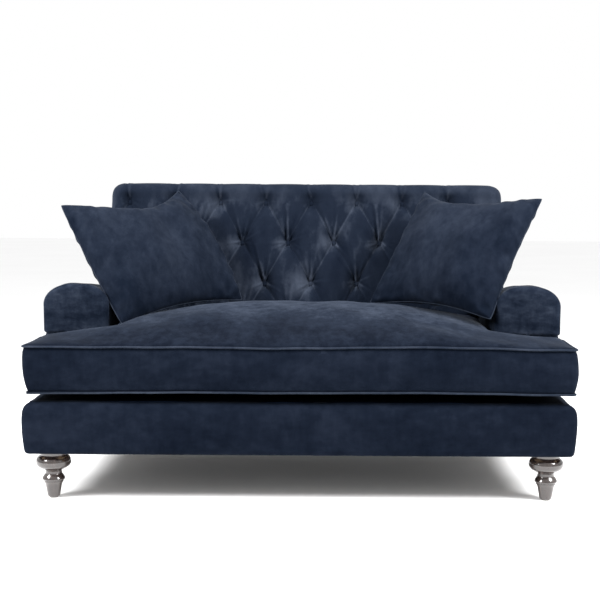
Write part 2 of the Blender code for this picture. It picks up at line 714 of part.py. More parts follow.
def turned_leg_profile():
    """The turned leg from the bottom of its bolt hole round to the foot."""
    top, foot = LEG_HEIGHT, GLIDE_HEIGHT + GAP
    hole = BOLT_RADIUS + BOLT_CLEARANCE
    hole_end = top - BOLT_IN_LEG - BOLT_CLEARANCE
    bulge = BUN_RADIUS - NECK_RADIUS - 0.004
    bun = arc((BUN_RADIUS - bulge, top - BUN_BELOW_TOP), (bulge, bulge), 62, -55, 6)
    return (
        [(0.0, hole_end), (hole, hole_end), (hole, top), (LEG_TOP_RADIUS, top)]
        + bun
        + [
            (NECK_RADIUS + 0.006, top - 0.0620),
            (NECK_RADIUS, top - 0.0665),
            (NECK_RADIUS + 0.001, top - 0.0740),
            (COLLAR_RADIUS - 0.004, top - 0.0825),
            (COLLAR_RADIUS, top - 0.0870),
            (COLLAR_RADIUS - 0.003, top - 0.0925),
            (ANKLE_RADIUS + 0.002, top - 0.0990),
            (ANKLE_RADIUS, top - 0.1080),
            (FOOT_RADIUS + 0.0015, foot + 0.006),
            (FOOT_RADIUS, foot),
            (0.0, foot),
        ]
    )


def plain_leg_profile():
    """The rear leg: a plain taper."""
    top, foot = LEG_HEIGHT, GLIDE_HEIGHT + GAP
    hole = BOLT_RADIUS + BOLT_CLEARANCE
    hole_end = top - BOLT_IN_LEG - BOLT_CLEARANCE
    return [
        (0.0, hole_end),
        (hole, hole_end),
        (hole, top),
        (REAR_TOP_RADIUS, top),
        (REAR_TOP_RADIUS, top - 0.006),
        (FOOT_RADIUS, foot),
        (0.0, foot),
    ]


def build_legs(lacquer, steel, nylon):
    turned = turned_mesh("leg_turned", turned_leg_profile(), lacquer, 24)
    plain = turned_mesh("leg_plain", plain_leg_profile(), lacquer, 20)
    seat = RAIL_BOTTOM + CORNER_BLOCK_HEIGHT + GAP
    bolt_profile = [
        (0.0, seat + BOLT_HEAD_HEIGHT),
        (BOLT_HEAD_RADIUS, seat + BOLT_HEAD_HEIGHT),
        (BOLT_HEAD_RADIUS, seat),
        (BOLT_RADIUS, seat),
        (BOLT_RADIUS, LEG_HEIGHT - BOLT_IN_LEG),
        (0.0, LEG_HEIGHT - BOLT_IN_LEG),
    ]
    bolt = turned_mesh("leg_bolt", bolt_profile, steel, 12)
    glide_profile = [
        (0.0, GLIDE_HEIGHT),
        (GLIDE_RADIUS, GLIDE_HEIGHT),
        (GLIDE_RADIUS, 0.0),
        (0.0, 0.0),
    ]
    glide = turned_mesh("glide", glide_profile, nylon, 16)
    for name, x, depth in leg_places():
        place = (x, y_at(depth), 0.0)
        add(f"leg_{name}", turned if name.startswith("front") else plain, place)
        add(f"leg_bolt_{name}", bolt, place)
        add(f"glide_{name}", glide, place)


# ---------------------------------------------------------------- loose cushions


def build_seat_cushion(velvet):
    """The T-shaped seat cushion: upright borders between two welts, crowned above and below."""
    wide = HALF_WIDTH + CUSHION_SIDE_OVERHANG
    narrow = ARM_INNER - CUSHION_CLEARANCE
    rear = BACK_FRONT_DEPTH - CUSHION_CLEARANCE
    between = [narrow * i / 4 for i in range(5)]
    half = between + [(narrow + wide) / 2, wide]
    across = [-x for x in reversed(half[1:])] + half
    depths = [0.0, CUSHION_EAR_REAR / 2, CUSHION_EAR_REAR]
    depths += [CUSHION_EAR_REAR + (rear - CUSHION_EAR_REAR) * i / 4 for i in range(1, 5)]

    def has_cell(i, j):
        if not (0 <= i < len(across) - 1 and 0 <= j < len(depths) - 1):
            return False
        in_ear = abs(across[i] + across[i + 1]) / 2 > narrow
        return depths[j + 1] <= CUSHION_EAR_REAR or not in_ear

    def at_edge(i, j):
        return not all(has_cell(a, b) for a in (i - 1, i) for b in (j - 1, j))

    def crown(x, depth):
        middle = max(0.0, 1.0 - (x / wide) ** 2) * math.sin(math.pi * min(1.0, depth / rear))
        return CUSHION_EAR_CROWN + (CUSHION_CROWN - CUSHION_EAR_CROWN) * middle**0.7

    bm = bmesh.new()
    tops, bottoms = {}, {}

    def corner(i, j):
        if (i, j) not in tops:
            x, depth = across[i], depths[j]
            edge = at_edge(i, j)
            top = CUSHION_WELT_TOP + (0.0 if edge else crown(x, depth))
            bottom = CUSHION_WELT_BOTTOM if edge else DECK_TOP + GAP
            tops[i, j] = bm.verts.new((x, y_at(depth), top))
            bottoms[i, j] = bm.verts.new((x, y_at(depth), bottom))
        return i, j

    for i in range(len(across) - 1):
        for j in range(len(depths) - 1):
            if not has_cell(i, j):
                continue
            ring = [corner(i, j), corner(i + 1, j), corner(i + 1, j + 1), corner(i, j + 1)]
            bm.faces.new([tops[key] for key in ring])
            bm.faces.new([bottoms[key] for key in reversed(ring)])
            beyond = [(i, j - 1), (i + 1, j), (i, j + 1), (i - 1, j)]
            for k, neighbour in enumerate(beyond):
                if has_cell(*neighbour):
                    continue
                a, b = ring[k], ring[(k + 1) % 4]
                bm.faces.new([bottoms[a], bottoms[b], tops[b], tops[a]])
    add("seat_cushion", mesh_of("seat_cushion", bm, velvet))


def pillow_mesh(velvet):
    """A square knife-edge pillow, standing in its own XZ plane, pulled in between its corners."""
    half = PILLOW_SIZE / 2
    steps = [math.sin(math.pi / 2 * (2 * i / PILLOW_GRID - 1)) for i in range(PILLOW_GRID + 1)]
    bm = bmesh.new()
    sheets = []
    for side in (-1, 1):
        sheet = {}
        for i, u in enumerate(steps):
            for j, v in enumerate(steps):
                on_rim = i in (0, PILLOW_GRID) or j in (0, PILLOW_GRID)
                if sheets and on_rim:
                    sheet[i, j] = sheets[0][i, j]
                    continue
                x = u * (half - PILLOW_PULL_IN * (1 - v * v))
                z = v * (half - PILLOW_PULL_IN * (1 - u * u))
                puff = ((1 - u * u) * (1 - v * v)) ** 0.45
                sheet[i, j] = bm.verts.new((x, side * PILLOW_THICKNESS / 2 * puff, z))
        sheets.append(sheet)
        for i in range(PILLOW_GRID):
            for j in range(PILLOW_GRID):
                ring = [(i, j), (i + 1, j), (i + 1, j + 1), (i, j + 1)]
                bm.faces.new([sheet[key] for key in ring[::-side]])
    return mesh_of("pillow", bm, velvet, smooth=True, wound=True)


def build_pillows(velvet):
    """Both pillows lean back and turn inwards, each with its outer edge over the arm."""
    mesh = pillow_mesh(velvet)
    for side, word in ((-1, "left"), (1, "right")):
        height = max(ARM_TOP + PILLOW_ABOVE_ARM[word], CUSHION_WELT_TOP + PILLOW_ABOVE_WELT[word])
        pillow = add(f"pillow_{word}", mesh)
        pillow.rotation_mode = "YXZ"
        pillow.rotation_euler = (-PILLOW_LEAN, side * PILLOW_ROLL[word], -side * PILLOW_TURN)
        pillow.location = (
            side * (ARM_INNER - PILLOW_INSET),
            y_at(BACK_FRONT_DEPTH - PILLOW_FORWARD),
            height,
        )


def main():
    clear_scene()
    velvet = finish("velvet", (0.021, 0.032, 0.062), 0.9)
    lacquer = finish("leg_lacquer", (0.020, 0.016, 0.014), 0.25)
    wood = finish("frame_wood", (0.55, 0.38, 0.22), 0.7)
    steel = finish("spring_steel", (0.45, 0.45, 0.47), 0.4, 0.9)
    webbing = finish("webbing", (0.30, 0.26, 0.20), 0.9)
    felt = finish("deck_felt", (0.10, 0.11, 0.13), 0.95)
    cambric = finish("dust_cloth", (0.02, 0.02, 0.02), 0.95)
    nylon = finish("glide_nylon", (0.30, 0.28, 0.26), 0.6)

    build_base_frame(wood)
    build_corner_blocks(wood)
    build_back_frame(wood)
    build_springs(steel)
    build_back_straps(webbing)
    build_deck(felt)
    build_dust_cover(cambric)
    build_front_border(velvet)
    for side, word in ((-1, "left"), (1, "right")):
        build_arm_frame(side, word, wood)
        build_arm_upholstery(side, word, velvet)
    build_outside_back(velvet)
    build_back_side_panels(velvet)
    build_tufted_back(velvet)
    build_button_rows(velvet)
    build_legs(lacquer, steel, nylon)
    build_seat_cushion(velvet)
    build_pillows(velvet)


main()
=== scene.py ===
"""The looks of a buttoned two-seater sofa on turned legs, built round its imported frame.

Metres, +Z up. The front of the sofa faces -Y. A depth is measured backwards from the foremost
point of the seat cushion, as the frame's own sizes are.
"""

import logging
import math
from dataclasses import dataclass, field
from enum import Enum
from typing import Callable, Sequence

import bpy
import numpy as np
from mathutils import Euler, Matrix, Vector
from mathutils.kdtree import KDTree


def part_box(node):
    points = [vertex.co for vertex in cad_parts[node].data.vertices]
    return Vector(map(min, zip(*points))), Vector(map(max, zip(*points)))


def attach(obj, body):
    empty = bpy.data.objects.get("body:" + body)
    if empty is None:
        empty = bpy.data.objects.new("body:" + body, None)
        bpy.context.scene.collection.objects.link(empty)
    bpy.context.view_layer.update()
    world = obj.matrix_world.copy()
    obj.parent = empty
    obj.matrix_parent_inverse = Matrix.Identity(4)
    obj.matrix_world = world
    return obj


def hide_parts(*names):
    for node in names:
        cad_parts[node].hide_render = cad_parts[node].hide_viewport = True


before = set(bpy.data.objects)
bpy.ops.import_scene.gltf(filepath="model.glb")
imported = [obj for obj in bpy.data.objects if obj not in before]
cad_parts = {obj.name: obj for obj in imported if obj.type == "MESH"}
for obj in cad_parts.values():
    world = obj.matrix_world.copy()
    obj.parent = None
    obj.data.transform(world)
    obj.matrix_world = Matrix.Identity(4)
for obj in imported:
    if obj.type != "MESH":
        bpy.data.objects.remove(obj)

LOG = logging.getLogger("sofa")
FRAME_BODY = "frame"
PAINTED_LIGHT = "nap"  # the attribute of painted light and painted shade that makes the velvet lighter or darker
CALM = "calm"  # the attribute that takes a share off the velvet's own mottling
MERGE = 1e-5  # points nearer than this are one point
ARM_FALL = 0.078  # the arms slope down by this much from their fronts to the outside back
ARM_FALL_AT_BACK = 0.046  # and by this much where they meet the buttoned back
SHOULDER_ACROSS = 0.085  # the arm's rounded shoulders: a quarter of an ellipse this wide
SHOULDER_DOWN = 0.065  # and this high
EAR_CLEARANCE = 0.006  # between the seat cushion's ears and the fronts of the arms
SKIN = 0.001  # how far a cover keeps inside or outside the CAD face it follows
COVER_CALM = 0.65  # share of the mottling taken off the plain covers of the back

Array = np.ndarray
Colour = tuple[float, float, float]
Placer = Callable[[Array, Array], tuple[Array, Array, Array]]


class Side(Enum):
    """The two ends of the sofa, as they are seen from the front."""

    LEFT = -1
    RIGHT = 1

    @property
    def word(self) -> str:
        """The side's name, as the frame's nodes spell it."""
        return self.name.lower()


# ------------------------------------------------------------------ the frame's own sizes


@dataclass(frozen=True)
class FrameSizes:
    """Sizes read from the boxes of the frame's nodes."""

    front: float
    half_width: float
    arm_inner: float
    arm_top: float
    arm_front: float
    roll_bottom: float
    deck_top: float
    base_bottom: float
    back_top: float
    back_half: float
    frame_rear: float
    rear: float
    cushion_rear: float
    ear_rear: float

    @classmethod
    def read(cls) -> "FrameSizes":
        """Reads the boxes.

        Returns:
            The sizes, with depths counted from the front of the cushion.
        """
        cushion_low, cushion_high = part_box("seat_cushion")
        pad_low, pad_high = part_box("arm_pad_right")
        facing_low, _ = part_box("arm_facing_right")
        _, outside_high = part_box("outside_arm_right")
        border_low, border_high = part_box("front_border")
        _, back_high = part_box("tufted_back")
        cover_low, cover_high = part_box("outside_back")
        front = cushion_low.y
        return cls(
            front=front,
            half_width=pad_high.x,
            arm_inner=pad_low.x,
            arm_top=pad_high.z,
            arm_front=facing_low.y - front,
            roll_bottom=outside_high.z,
            deck_top=border_high.z,
            base_bottom=border_low.z,
            back_top=back_high.z,
            back_half=back_high.x,
            frame_rear=cover_low.y - front,
            rear=cover_high.y - front,
            cushion_rear=cushion_high.y - front,
            ear_rear=facing_low.y - front - EAR_CLEARANCE,
        )

    def y(self, depth: Array | float) -> Array | float:
        """World Y of a depth."""
        return self.front + depth


# ------------------------------------------------------------------ modelling helpers


def only(obj: bpy.types.Object) -> bpy.types.Object:
    """Selects one object, makes it the active one and returns it."""
    deselect()
    obj.select_set(True)
    bpy.context.view_layer.objects.active = obj
    return obj


def deselect() -> None:
    """Deselects every object."""
    for other in bpy.context.selected_objects:
        other.select_set(False)


def points_of(obj: bpy.types.Object) -> Array:
    """The points of a mesh as an array of rows."""
    flat = np.zeros(len(obj.data.vertices) * 3)
    obj.data.vertices.foreach_get("co", flat)
    return flat.reshape(-1, 3)


def set_points(obj: bpy.types.Object, points: Array) -> None:
    """Writes the points of a mesh."""
    obj.data.vertices.foreach_set("co", np.ascontiguousarray(points, float).ravel())
    obj.data.update()


def named(obj: bpy.types.Object, name: str) -> bpy.types.Object:
    """Names an object and its mesh."""
    obj.name = name
    obj.data.name = name
    return obj


def grid_piece(name: str, across: int, along: int, place: Placer) -> bpy.types.Object:
    """Adds a grid and moves its points where they belong.

    Args:
        name: The piece's name.
        across: Cells in the first direction.
        along: Cells in the second direction.
        place: Gives X, Y and Z for arrays of u and v, each from 0 to 1.

    Returns:
        The piece, with its UV map kept.
    """
    deselect()
    bpy.ops.mesh.primitive_grid_add(x_subdivisions=across, y_subdivisions=along, size=1)
    obj = named(bpy.context.object, name)
    start = points_of(obj)
    set_points(obj, np.column_stack(place(start[:, 0] + 0.5, start[:, 1] + 0.5)))
    return obj


def nth(share: Array, count: int) -> Array:
    """The places in a list of so many that shares from 0 to 1 stand for."""
    return np.rint(share * (count - 1)).astype(int)


def spots(*columns: Array | float) -> Array:
    """Rows of points from their columns, any of which may be one number."""
    return np.column_stack(np.broadcast_arrays(*columns))


def evenly(keys: Array, count: int = 0, cell: float = 1.0) -> tuple[Array, Array]:
    """Sets points at even distances along a line.

    Args:
        keys: Rows of two coordinates.
        count: How many points there are to be, or 0 to go by the cell.
        cell: About how far apart they are to be.

    Returns:
        The rows, and the distance along the line of each.
    """
    steps = np.linalg.norm(np.diff(keys, axis=0), axis=1)
    along = np.concatenate(([0], np.cumsum(steps)))
    even = np.linspace(0, along[-1], count or round(along[-1] / cell) + 1)
    return np.column_stack([np.interp(even, along, keys[:, i]) for i in (0, 1)]), even


def softened(line: Array, times: int) -> Array:
    """Eases the kinks out of a line by evening each point with its neighbours."""
    for _ in range(times):
        line[1:-1] = (line[:-2] + 2 * line[1:-1] + line[2:]) / 4
    return line


def fullness(distances: Sequence[Array], width: float) -> Array:
    """0 at the edges of a cover, and near 1 a few widths inside all of them."""
    return 1 - np.exp(-np.maximum(np.minimum.reduce(distances), 0) / width)


def drop_faces(obj: bpy.types.Object, unwanted: Callable[[Vector], bool]) -> None:
    """Deletes the faces of a mesh whose middles are unwanted."""
    only(obj)
    bpy.ops.object.mode_set(mode="EDIT")
    bpy.ops.mesh.select_mode(type="FACE")
    bpy.ops.mesh.select_all(action="DESELECT")
    bpy.ops.object.mode_set(mode="OBJECT")
    for face in obj.data.polygons:
        face.select = unwanted(face.center)
    bpy.ops.object.mode_set(mode="EDIT")
    bpy.ops.mesh.delete(type="FACE")
    bpy.ops.mesh.select_mode(type="VERT")
    bpy.ops.object.mode_set(mode="OBJECT")


def edit(obj: bpy.types.Object, *steps: Callable[[], object]) -> None:
    """Runs edit-mode steps on a mesh with everything selected."""
    only(obj)
    bpy.ops.object.mode_set(mode="EDIT")
    bpy.ops.mesh.select_all(action="SELECT")
    for step in steps:
        step()
    bpy.ops.object.mode_set(mode="OBJECT")


def volume_of(obj: bpy.types.Object) -> float:
    """The volume inside a closed mesh, below 0 where its faces look inwards."""
    obj.data.calc_loop_triangles()
    corners = np.zeros(len(obj.data.loop_triangles) * 3, int)
    obj.data.loop_triangles.foreach_get("vertices", corners)
    a, b, c = points_of(obj)[corners.reshape(-1, 3)].transpose(1, 0, 2)
    return float((a * np.cross(b, c)).sum() / 6)


def face_outwards(obj: bpy.types.Object) -> None:
    """Turns all the faces of a closed mesh outwards."""
    edit(obj, lambda: bpy.ops.mesh.normals_make_consistent(inside=False))
    if volume_of(obj) < 0:
        edit(obj, bpy.ops.mesh.flip_normals)


def closed(obj: bpy.types.Object, merge: float = MERGE) -> bpy.types.Object:
    """Merges doubled points and turns all faces outwards."""
    edit(
        obj,
        lambda: bpy.ops.mesh.remove_doubles(threshold=merge),
        lambda: bpy.ops.mesh.dissolve_degenerate(threshold=merge / 10),
    )
    face_outwards(obj)
    return obj


def thickened(obj: bpy.types.Object, way: Sequence[float]) -> bpy.types.Object:
    """Extrudes an open cover by an offset into a closed plate with its faces outwards."""
    edit(
        obj,
        lambda: bpy.ops.mesh.extrude_region_move(TRANSFORM_OT_translate={"value": way}),
        lambda: bpy.ops.mesh.select_all(action="SELECT"),
        lambda: bpy.ops.mesh.normals_make_consistent(inside=False),
    )
    return smooth(obj)


def smooth(obj: bpy.types.Object, angle: float = 50.0) -> bpy.types.Object:
    """Shades a piece smooth, but for edges sharper than the angle in degrees."""
    only(obj)
    bpy.ops.object.shade_smooth_by_angle(angle=math.radians(angle))
    return obj


def modifier(obj: bpy.types.Object, kind: str, **settings: object) -> None:
    """Adds a modifier and applies it."""
    only(obj)
    made = obj.modifiers.new(kind.lower(), kind)
    for key, value in settings.items():
        setattr(made, key, value)
    bpy.ops.object.modifier_apply(modifier=made.name)


def tube(name: str, path: Array, radius: float, sides: int) -> bpy.types.Object:
    """A round cord along a closed path, as one closed mesh.

    Args:
        name: The piece's name.
        path: Rows of points.
        radius: Of the cord.
        sides: Faces round it.

    Returns:
        The piece.
    """
    ahead = np.roll(path, -1, 0) - np.roll(path, 1, 0)
    ahead /= np.linalg.norm(ahead, axis=1)[:, None]
    side = np.cross(ahead, (0.0, 0.0, 1.0))
    size = np.linalg.norm(side, axis=1)[:, None]
    side = np.where(size > 0.15, side / np.maximum(size, 1e-9), (1.0, 0.0, 0.0))
    other = np.cross(side, ahead)

    def place(u: Array, v: Array) -> tuple[Array, Array, Array]:
        index = nth(u, len(path) + 1) % len(path)
        angle = v[:, None] * math.tau
        round_it = np.cos(angle) * side[index] + np.sin(angle) * other[index]
        return tuple((path[index] + radius * round_it).T)

    return smooth(closed(grid_piece(name, len(path), sides, place)), 80)


def joined(name: str, pieces: Sequence[bpy.types.Object]) -> bpy.types.Object:
    """Joins pieces into the first one and names it."""
    deselect()
    for piece in pieces:
        piece.select_set(True)
    bpy.context.view_layer.objects.active = pieces[0]
    bpy.ops.object.join()
    return named(bpy.context.object, name)


class Ripple:
    """Soft, even unevenness: a seeded sum of plane waves of about one length."""

    WAVES = 14
    SPREAD = (0.6, 1.5)  # of the waves' lengths round the one asked for

    def __init__(self, seed: int, length: float) -> None:
        """Draws the waves.

        Args:
            seed: Of the random draws.
            length: About how far it is from crest to crest.
        """
        draw = np.random.default_rng(seed)
        turn = draw.normal(size=(self.WAVES, 3))
        turn /= np.linalg.norm(turn, axis=1)[:, None]
        self.turn = turn * (math.tau / length) * draw.uniform(*self.SPREAD, (self.WAVES, 1))
        self.phase = draw.uniform(0, math.tau, self.WAVES)
        self.scale = 1.4 / math.sqrt(self.WAVES)

    def at(self, points: Array) -> Array:
        """The height of the unevenness at each point, mostly from -1 to 1."""
        return np.sin(points @ self.turn.T + self.phase).sum(1) * self.scale


def store_values(obj: bpy.types.Object, values: Array | float, name: str = PAINTED_LIGHT) -> None:
    """Stores a value at each point of a piece, or one value all over.

    Args:
        obj: The piece.
        values: For the painted-light attribute, painted light above 0 and painted shade below; for
            CALM, a share from 0 to 1.
        name: The attribute that holds them.
    """
    stored = obj.data.attributes.new(name, "FLOAT", "POINT").data
    stored.foreach_set("value", np.full(len(stored), values, float))


def bump_of(distance: Array, width: float) -> Array:
    """A soft ridge across a distance."""
    return np.exp(-((distance / width) ** 2))


def ease(value: Array, start: float, end: float) -> Array:
    """0 before start, 1 after end, smooth between."""
    t = np.clip((value - start) / (end - start), 0.0, 1.0)
    return t * t * (3 - 2 * t)


# ------------------------------------------------------------------ finishes


class NodeSheet:
    """A material's node tree and a short way to add nodes to it."""

    def __init__(self, name: str) -> None:
        """Starts an empty Principled material.

        Args:
            name: The material's name.
        """
        self.material = bpy.data.materials.new(name)
        self.material.use_nodes = True
        self.tree = self.material.node_tree
        self.shader = self.tree.nodes["Principled BSDF"]
        self.coords = self.tree.nodes.new("ShaderNodeTexCoord").outputs["Object"]

    def set(self, **values: object) -> None:
        """Sets sockets of the shader, named with underscores for spaces."""
        for key, value in values.items():
            self.shader.inputs[key.replace("_", " ")].default_value = value

    def link(self, output: bpy.types.NodeSocket, node: bpy.types.Node, socket: str | int) -> None:
        """Links an output to a node's input."""
        self.tree.links.new(output, node.inputs[socket])

    def noise(
        self,
        scale: float,
        detail: float = 3.0,
        stretch: Sequence[float] = (1, 1, 1),
        roughness: float = 0.55,
    ) -> bpy.types.NodeSocket:
        """Noise on the object's own coordinates.

        Args:
            scale: Cells to the metre.
            detail: Octaves.
            stretch: Scale of each axis.
            roughness: Strength of the finer octaves.

        Returns:
            The noise's value.
        """
        mapping = self.tree.nodes.new("ShaderNodeMapping")
        mapping.inputs["Scale"].default_value = stretch
        self.link(self.coords, mapping, "Vector")
        node = self.tree.nodes.new("ShaderNodeTexNoise")
        node.inputs["Scale"].default_value = scale
        node.inputs["Detail"].default_value = detail
        node.inputs["Roughness"].default_value = roughness
        self.link(mapping.outputs["Vector"], node, "Vector")
        return node.outputs["Fac"]

    def attribute(self, name: str) -> bpy.types.NodeSocket:
        """The value of a mesh attribute, 0 where a mesh has none of that name."""
        node = self.tree.nodes.new("ShaderNodeAttribute")
        node.attribute_name = name
        return node.outputs["Fac"]

    def math(
        self, kind: str, a: bpy.types.NodeSocket | float, b: bpy.types.NodeSocket | float
    ) -> bpy.types.NodeSocket:
        """A Math node on two sockets or numbers."""
        node = self.tree.nodes.new("ShaderNodeMath")
        node.operation = kind
        for i, value in enumerate((a, b)):
            if isinstance(value, (int, float)):
                node.inputs[i].default_value = value
            else:
                self.link(value, node, i)
        return node.outputs[0]

    def weighted(self, *parts: tuple[bpy.types.NodeSocket, float]) -> bpy.types.NodeSocket:
        """The sum of some values, each times its share."""
        terms = [self.math("MULTIPLY", value, share) for value, share in parts]
        total = terms[0]
        for term in terms[1:]:
            total = self.math("ADD", total, term)
        return total

    def paint(
        self, fac: bpy.types.NodeSocket, stops: Sequence[tuple[float, Colour]]
    ) -> None:
        """Gives the shader its colour from a ramp.

        Args:
            fac: What drives the ramp.
            stops: Places and colours.
        """
        node = self.tree.nodes.new("ShaderNodeValToRGB")
        ramp = node.color_ramp
        while len(ramp.elements) < len(stops):
            ramp.elements.new(0.5)
        for element, (place, colour) in zip(ramp.elements, stops):
            element.position = place
            element.color = (*colour, 1.0)
        self.link(fac, node, "Fac")
        self.link(node.outputs["Color"], self.shader, "Base Color")

    def roughen(self, value: bpy.types.NodeSocket, reach: float, least: float) -> None:
        """Varies the shader's roughness with a value, by a reach from the least upwards."""
        rough = self.math("ADD", self.math("MULTIPLY", value, reach), least)
        self.link(rough, self.shader, "Roughness")

    def bump(self, height: bpy.types.NodeSocket, strength: float, distance: float) -> None:
        """Adds a bump, on top of any that is there already."""
        node = self.tree.nodes.new("ShaderNodeBump")
        node.inputs["Strength"].default_value = strength
        node.inputs["Distance"].default_value = distance
        self.link(height, node, "Height")
        before = self.shader.inputs["Normal"].links
        if before:
            self.link(before[0].from_socket, node, "Normal")
        self.link(node.outputs["Normal"], self.shader, "Normal")


@dataclass(frozen=True)
class Velvet:
    """Crushed cotton velvet: a deep ground, a paler brushed pile and a grey-blue sheen.

    Where a piece carries the attribute of painted light, its colour is made lighter by painted
    light and darker by painted shade.
    """

    name: str
    deep: Colour = (0.0023, 0.0039, 0.0083)
    mid: Colour = (0.0073, 0.0106, 0.0187)
    pale: Colour = (0.0238, 0.0303, 0.0456)
    sheen: float = 0.045
    crush: float = 7.0
    contrast: float = 0.62
    fine: float = 1.0
    brushed: tuple[float, float, float] = (1.0, 1.0, 0.6)

    def make(self) -> bpy.types.Material:
        """Builds the material.

        Returns:
            The material, patterned on the object's own coordinates.
        """
        sheet = NodeSheet(self.name)
        broad = sheet.noise(self.crush, 2.0, self.brushed)
        patches = sheet.noise(34.0, 5.0, self.brushed, 0.62)
        streaks = sheet.noise(60.0, 3.0, (1.0, 1.0, 0.25), 0.6)
        nap = sheet.weighted(
            (broad, 1 - 0.60 * self.fine), (patches, 0.42 * self.fine), (streaks, 0.18 * self.fine)
        )
        mottling = sheet.math("SUBTRACT", nap, 0.5)
        nap = sheet.math("SUBTRACT", nap, sheet.math("MULTIPLY", mottling, sheet.attribute(CALM)))
        # adds the painted light and painted shade stored on the piece to the mottling
        nap = sheet.math("ADD", nap, sheet.attribute(PAINTED_LIGHT))
        reach = 0.125 / self.contrast
        stops = [(0.5 - reach, self.deep), (0.5, self.mid), (0.5 + reach * 1.15, self.pale)]
        sheet.paint(nap, stops)
        pile = sheet.noise(1500.0, 2.0)
        sheet.bump(patches, 0.35, 0.006)
        sheet.bump(pile, 0.25, 0.0005)
        sheet.roughen(patches, 0.15, 0.80)
        sheet.set(
            Specular_IOR_Level=0.03,
            Sheen_Weight=self.sheen,
            Sheen_Roughness=0.33,
            Sheen_Tint=(0.70, 0.78, 0.92, 1.0),
        )
        return sheet.material


@dataclass(frozen=True)
class LegLacquer:
    """Beech stained nearly black under a glossy lacquer."""

    name: str = "leg_lacquer_finish"

    def make(self) -> bpy.types.Material:
        """Builds the material."""
        sheet = NodeSheet(self.name)
        grain = sheet.noise(26.0, 5.0, (6.0, 6.0, 0.7), 0.6)
        deep, mid, pale = (0.012, 0.0075, 0.0065), (0.026, 0.018, 0.016), (0.050, 0.036, 0.033)
        sheet.paint(grain, [(0.30, deep), (0.55, mid), (0.75, pale)])
        sheet.bump(grain, 0.05, 0.0008)
        wear = sheet.noise(14.0, 3.0)
        sheet.roughen(wear, 0.12, 0.14)
        sheet.set(Coat_Weight=0.8, Coat_Roughness=0.06, Specular_IOR_Level=0.55)
        return sheet.material


@dataclass(frozen=True)
class Grained:
    """A finish that one noise shades and roughens: sawn timber, drawn steel, moulded nylon."""

    name: str
    scale: float
    tones: tuple[tuple[float, Colour], ...]
    rough: tuple[float, float]  # how far the noise raises it, and the least
    detail: float = 3.0
    octaves: float = 0.55  # strength of the finer ones
    stretch: tuple[float, float, float] = (1.0, 1.0, 1.0)
    bump: float = 0.0
    depth: float = 0.0
    metallic: float = 0.0

    def make(self) -> bpy.types.Material:
        """Builds the material."""
        sheet = NodeSheet(self.name)
        grain = sheet.noise(self.scale, self.detail, self.stretch, self.octaves)
        sheet.paint(grain, self.tones)
        if self.bump:
            sheet.bump(grain, self.bump, self.depth)
        reach, least = self.rough
        if reach:
            sheet.roughen(grain, reach, least)
        sheet.set(Roughness=least, Metallic=self.metallic)
        return sheet.material


@dataclass(frozen=True)
class Woven:
    """A plain woven or felted cloth in two tones."""

    name: str
    dark: Colour
    light: Colour
    threads: float = 420.0
    depth: float = 0.0006

    def make(self) -> bpy.types.Material:
        """Builds the material."""
        sheet = NodeSheet(self.name)
        weave = sheet.noise(self.threads, 3.0, (1.0, 0.4, 1.0))
        cross = sheet.noise(self.threads, 3.0, (0.4, 1.0, 0.4))
        both = sheet.math("MULTIPLY", sheet.math("ADD", weave, cross), 0.5)
        sheet.paint(both, [(0.38, self.dark), (0.62, self.light)])
        sheet.bump(both, 0.5, self.depth)
        sheet.set(Roughness=0.95, Specular_IOR_Level=0.05)
        return sheet.material


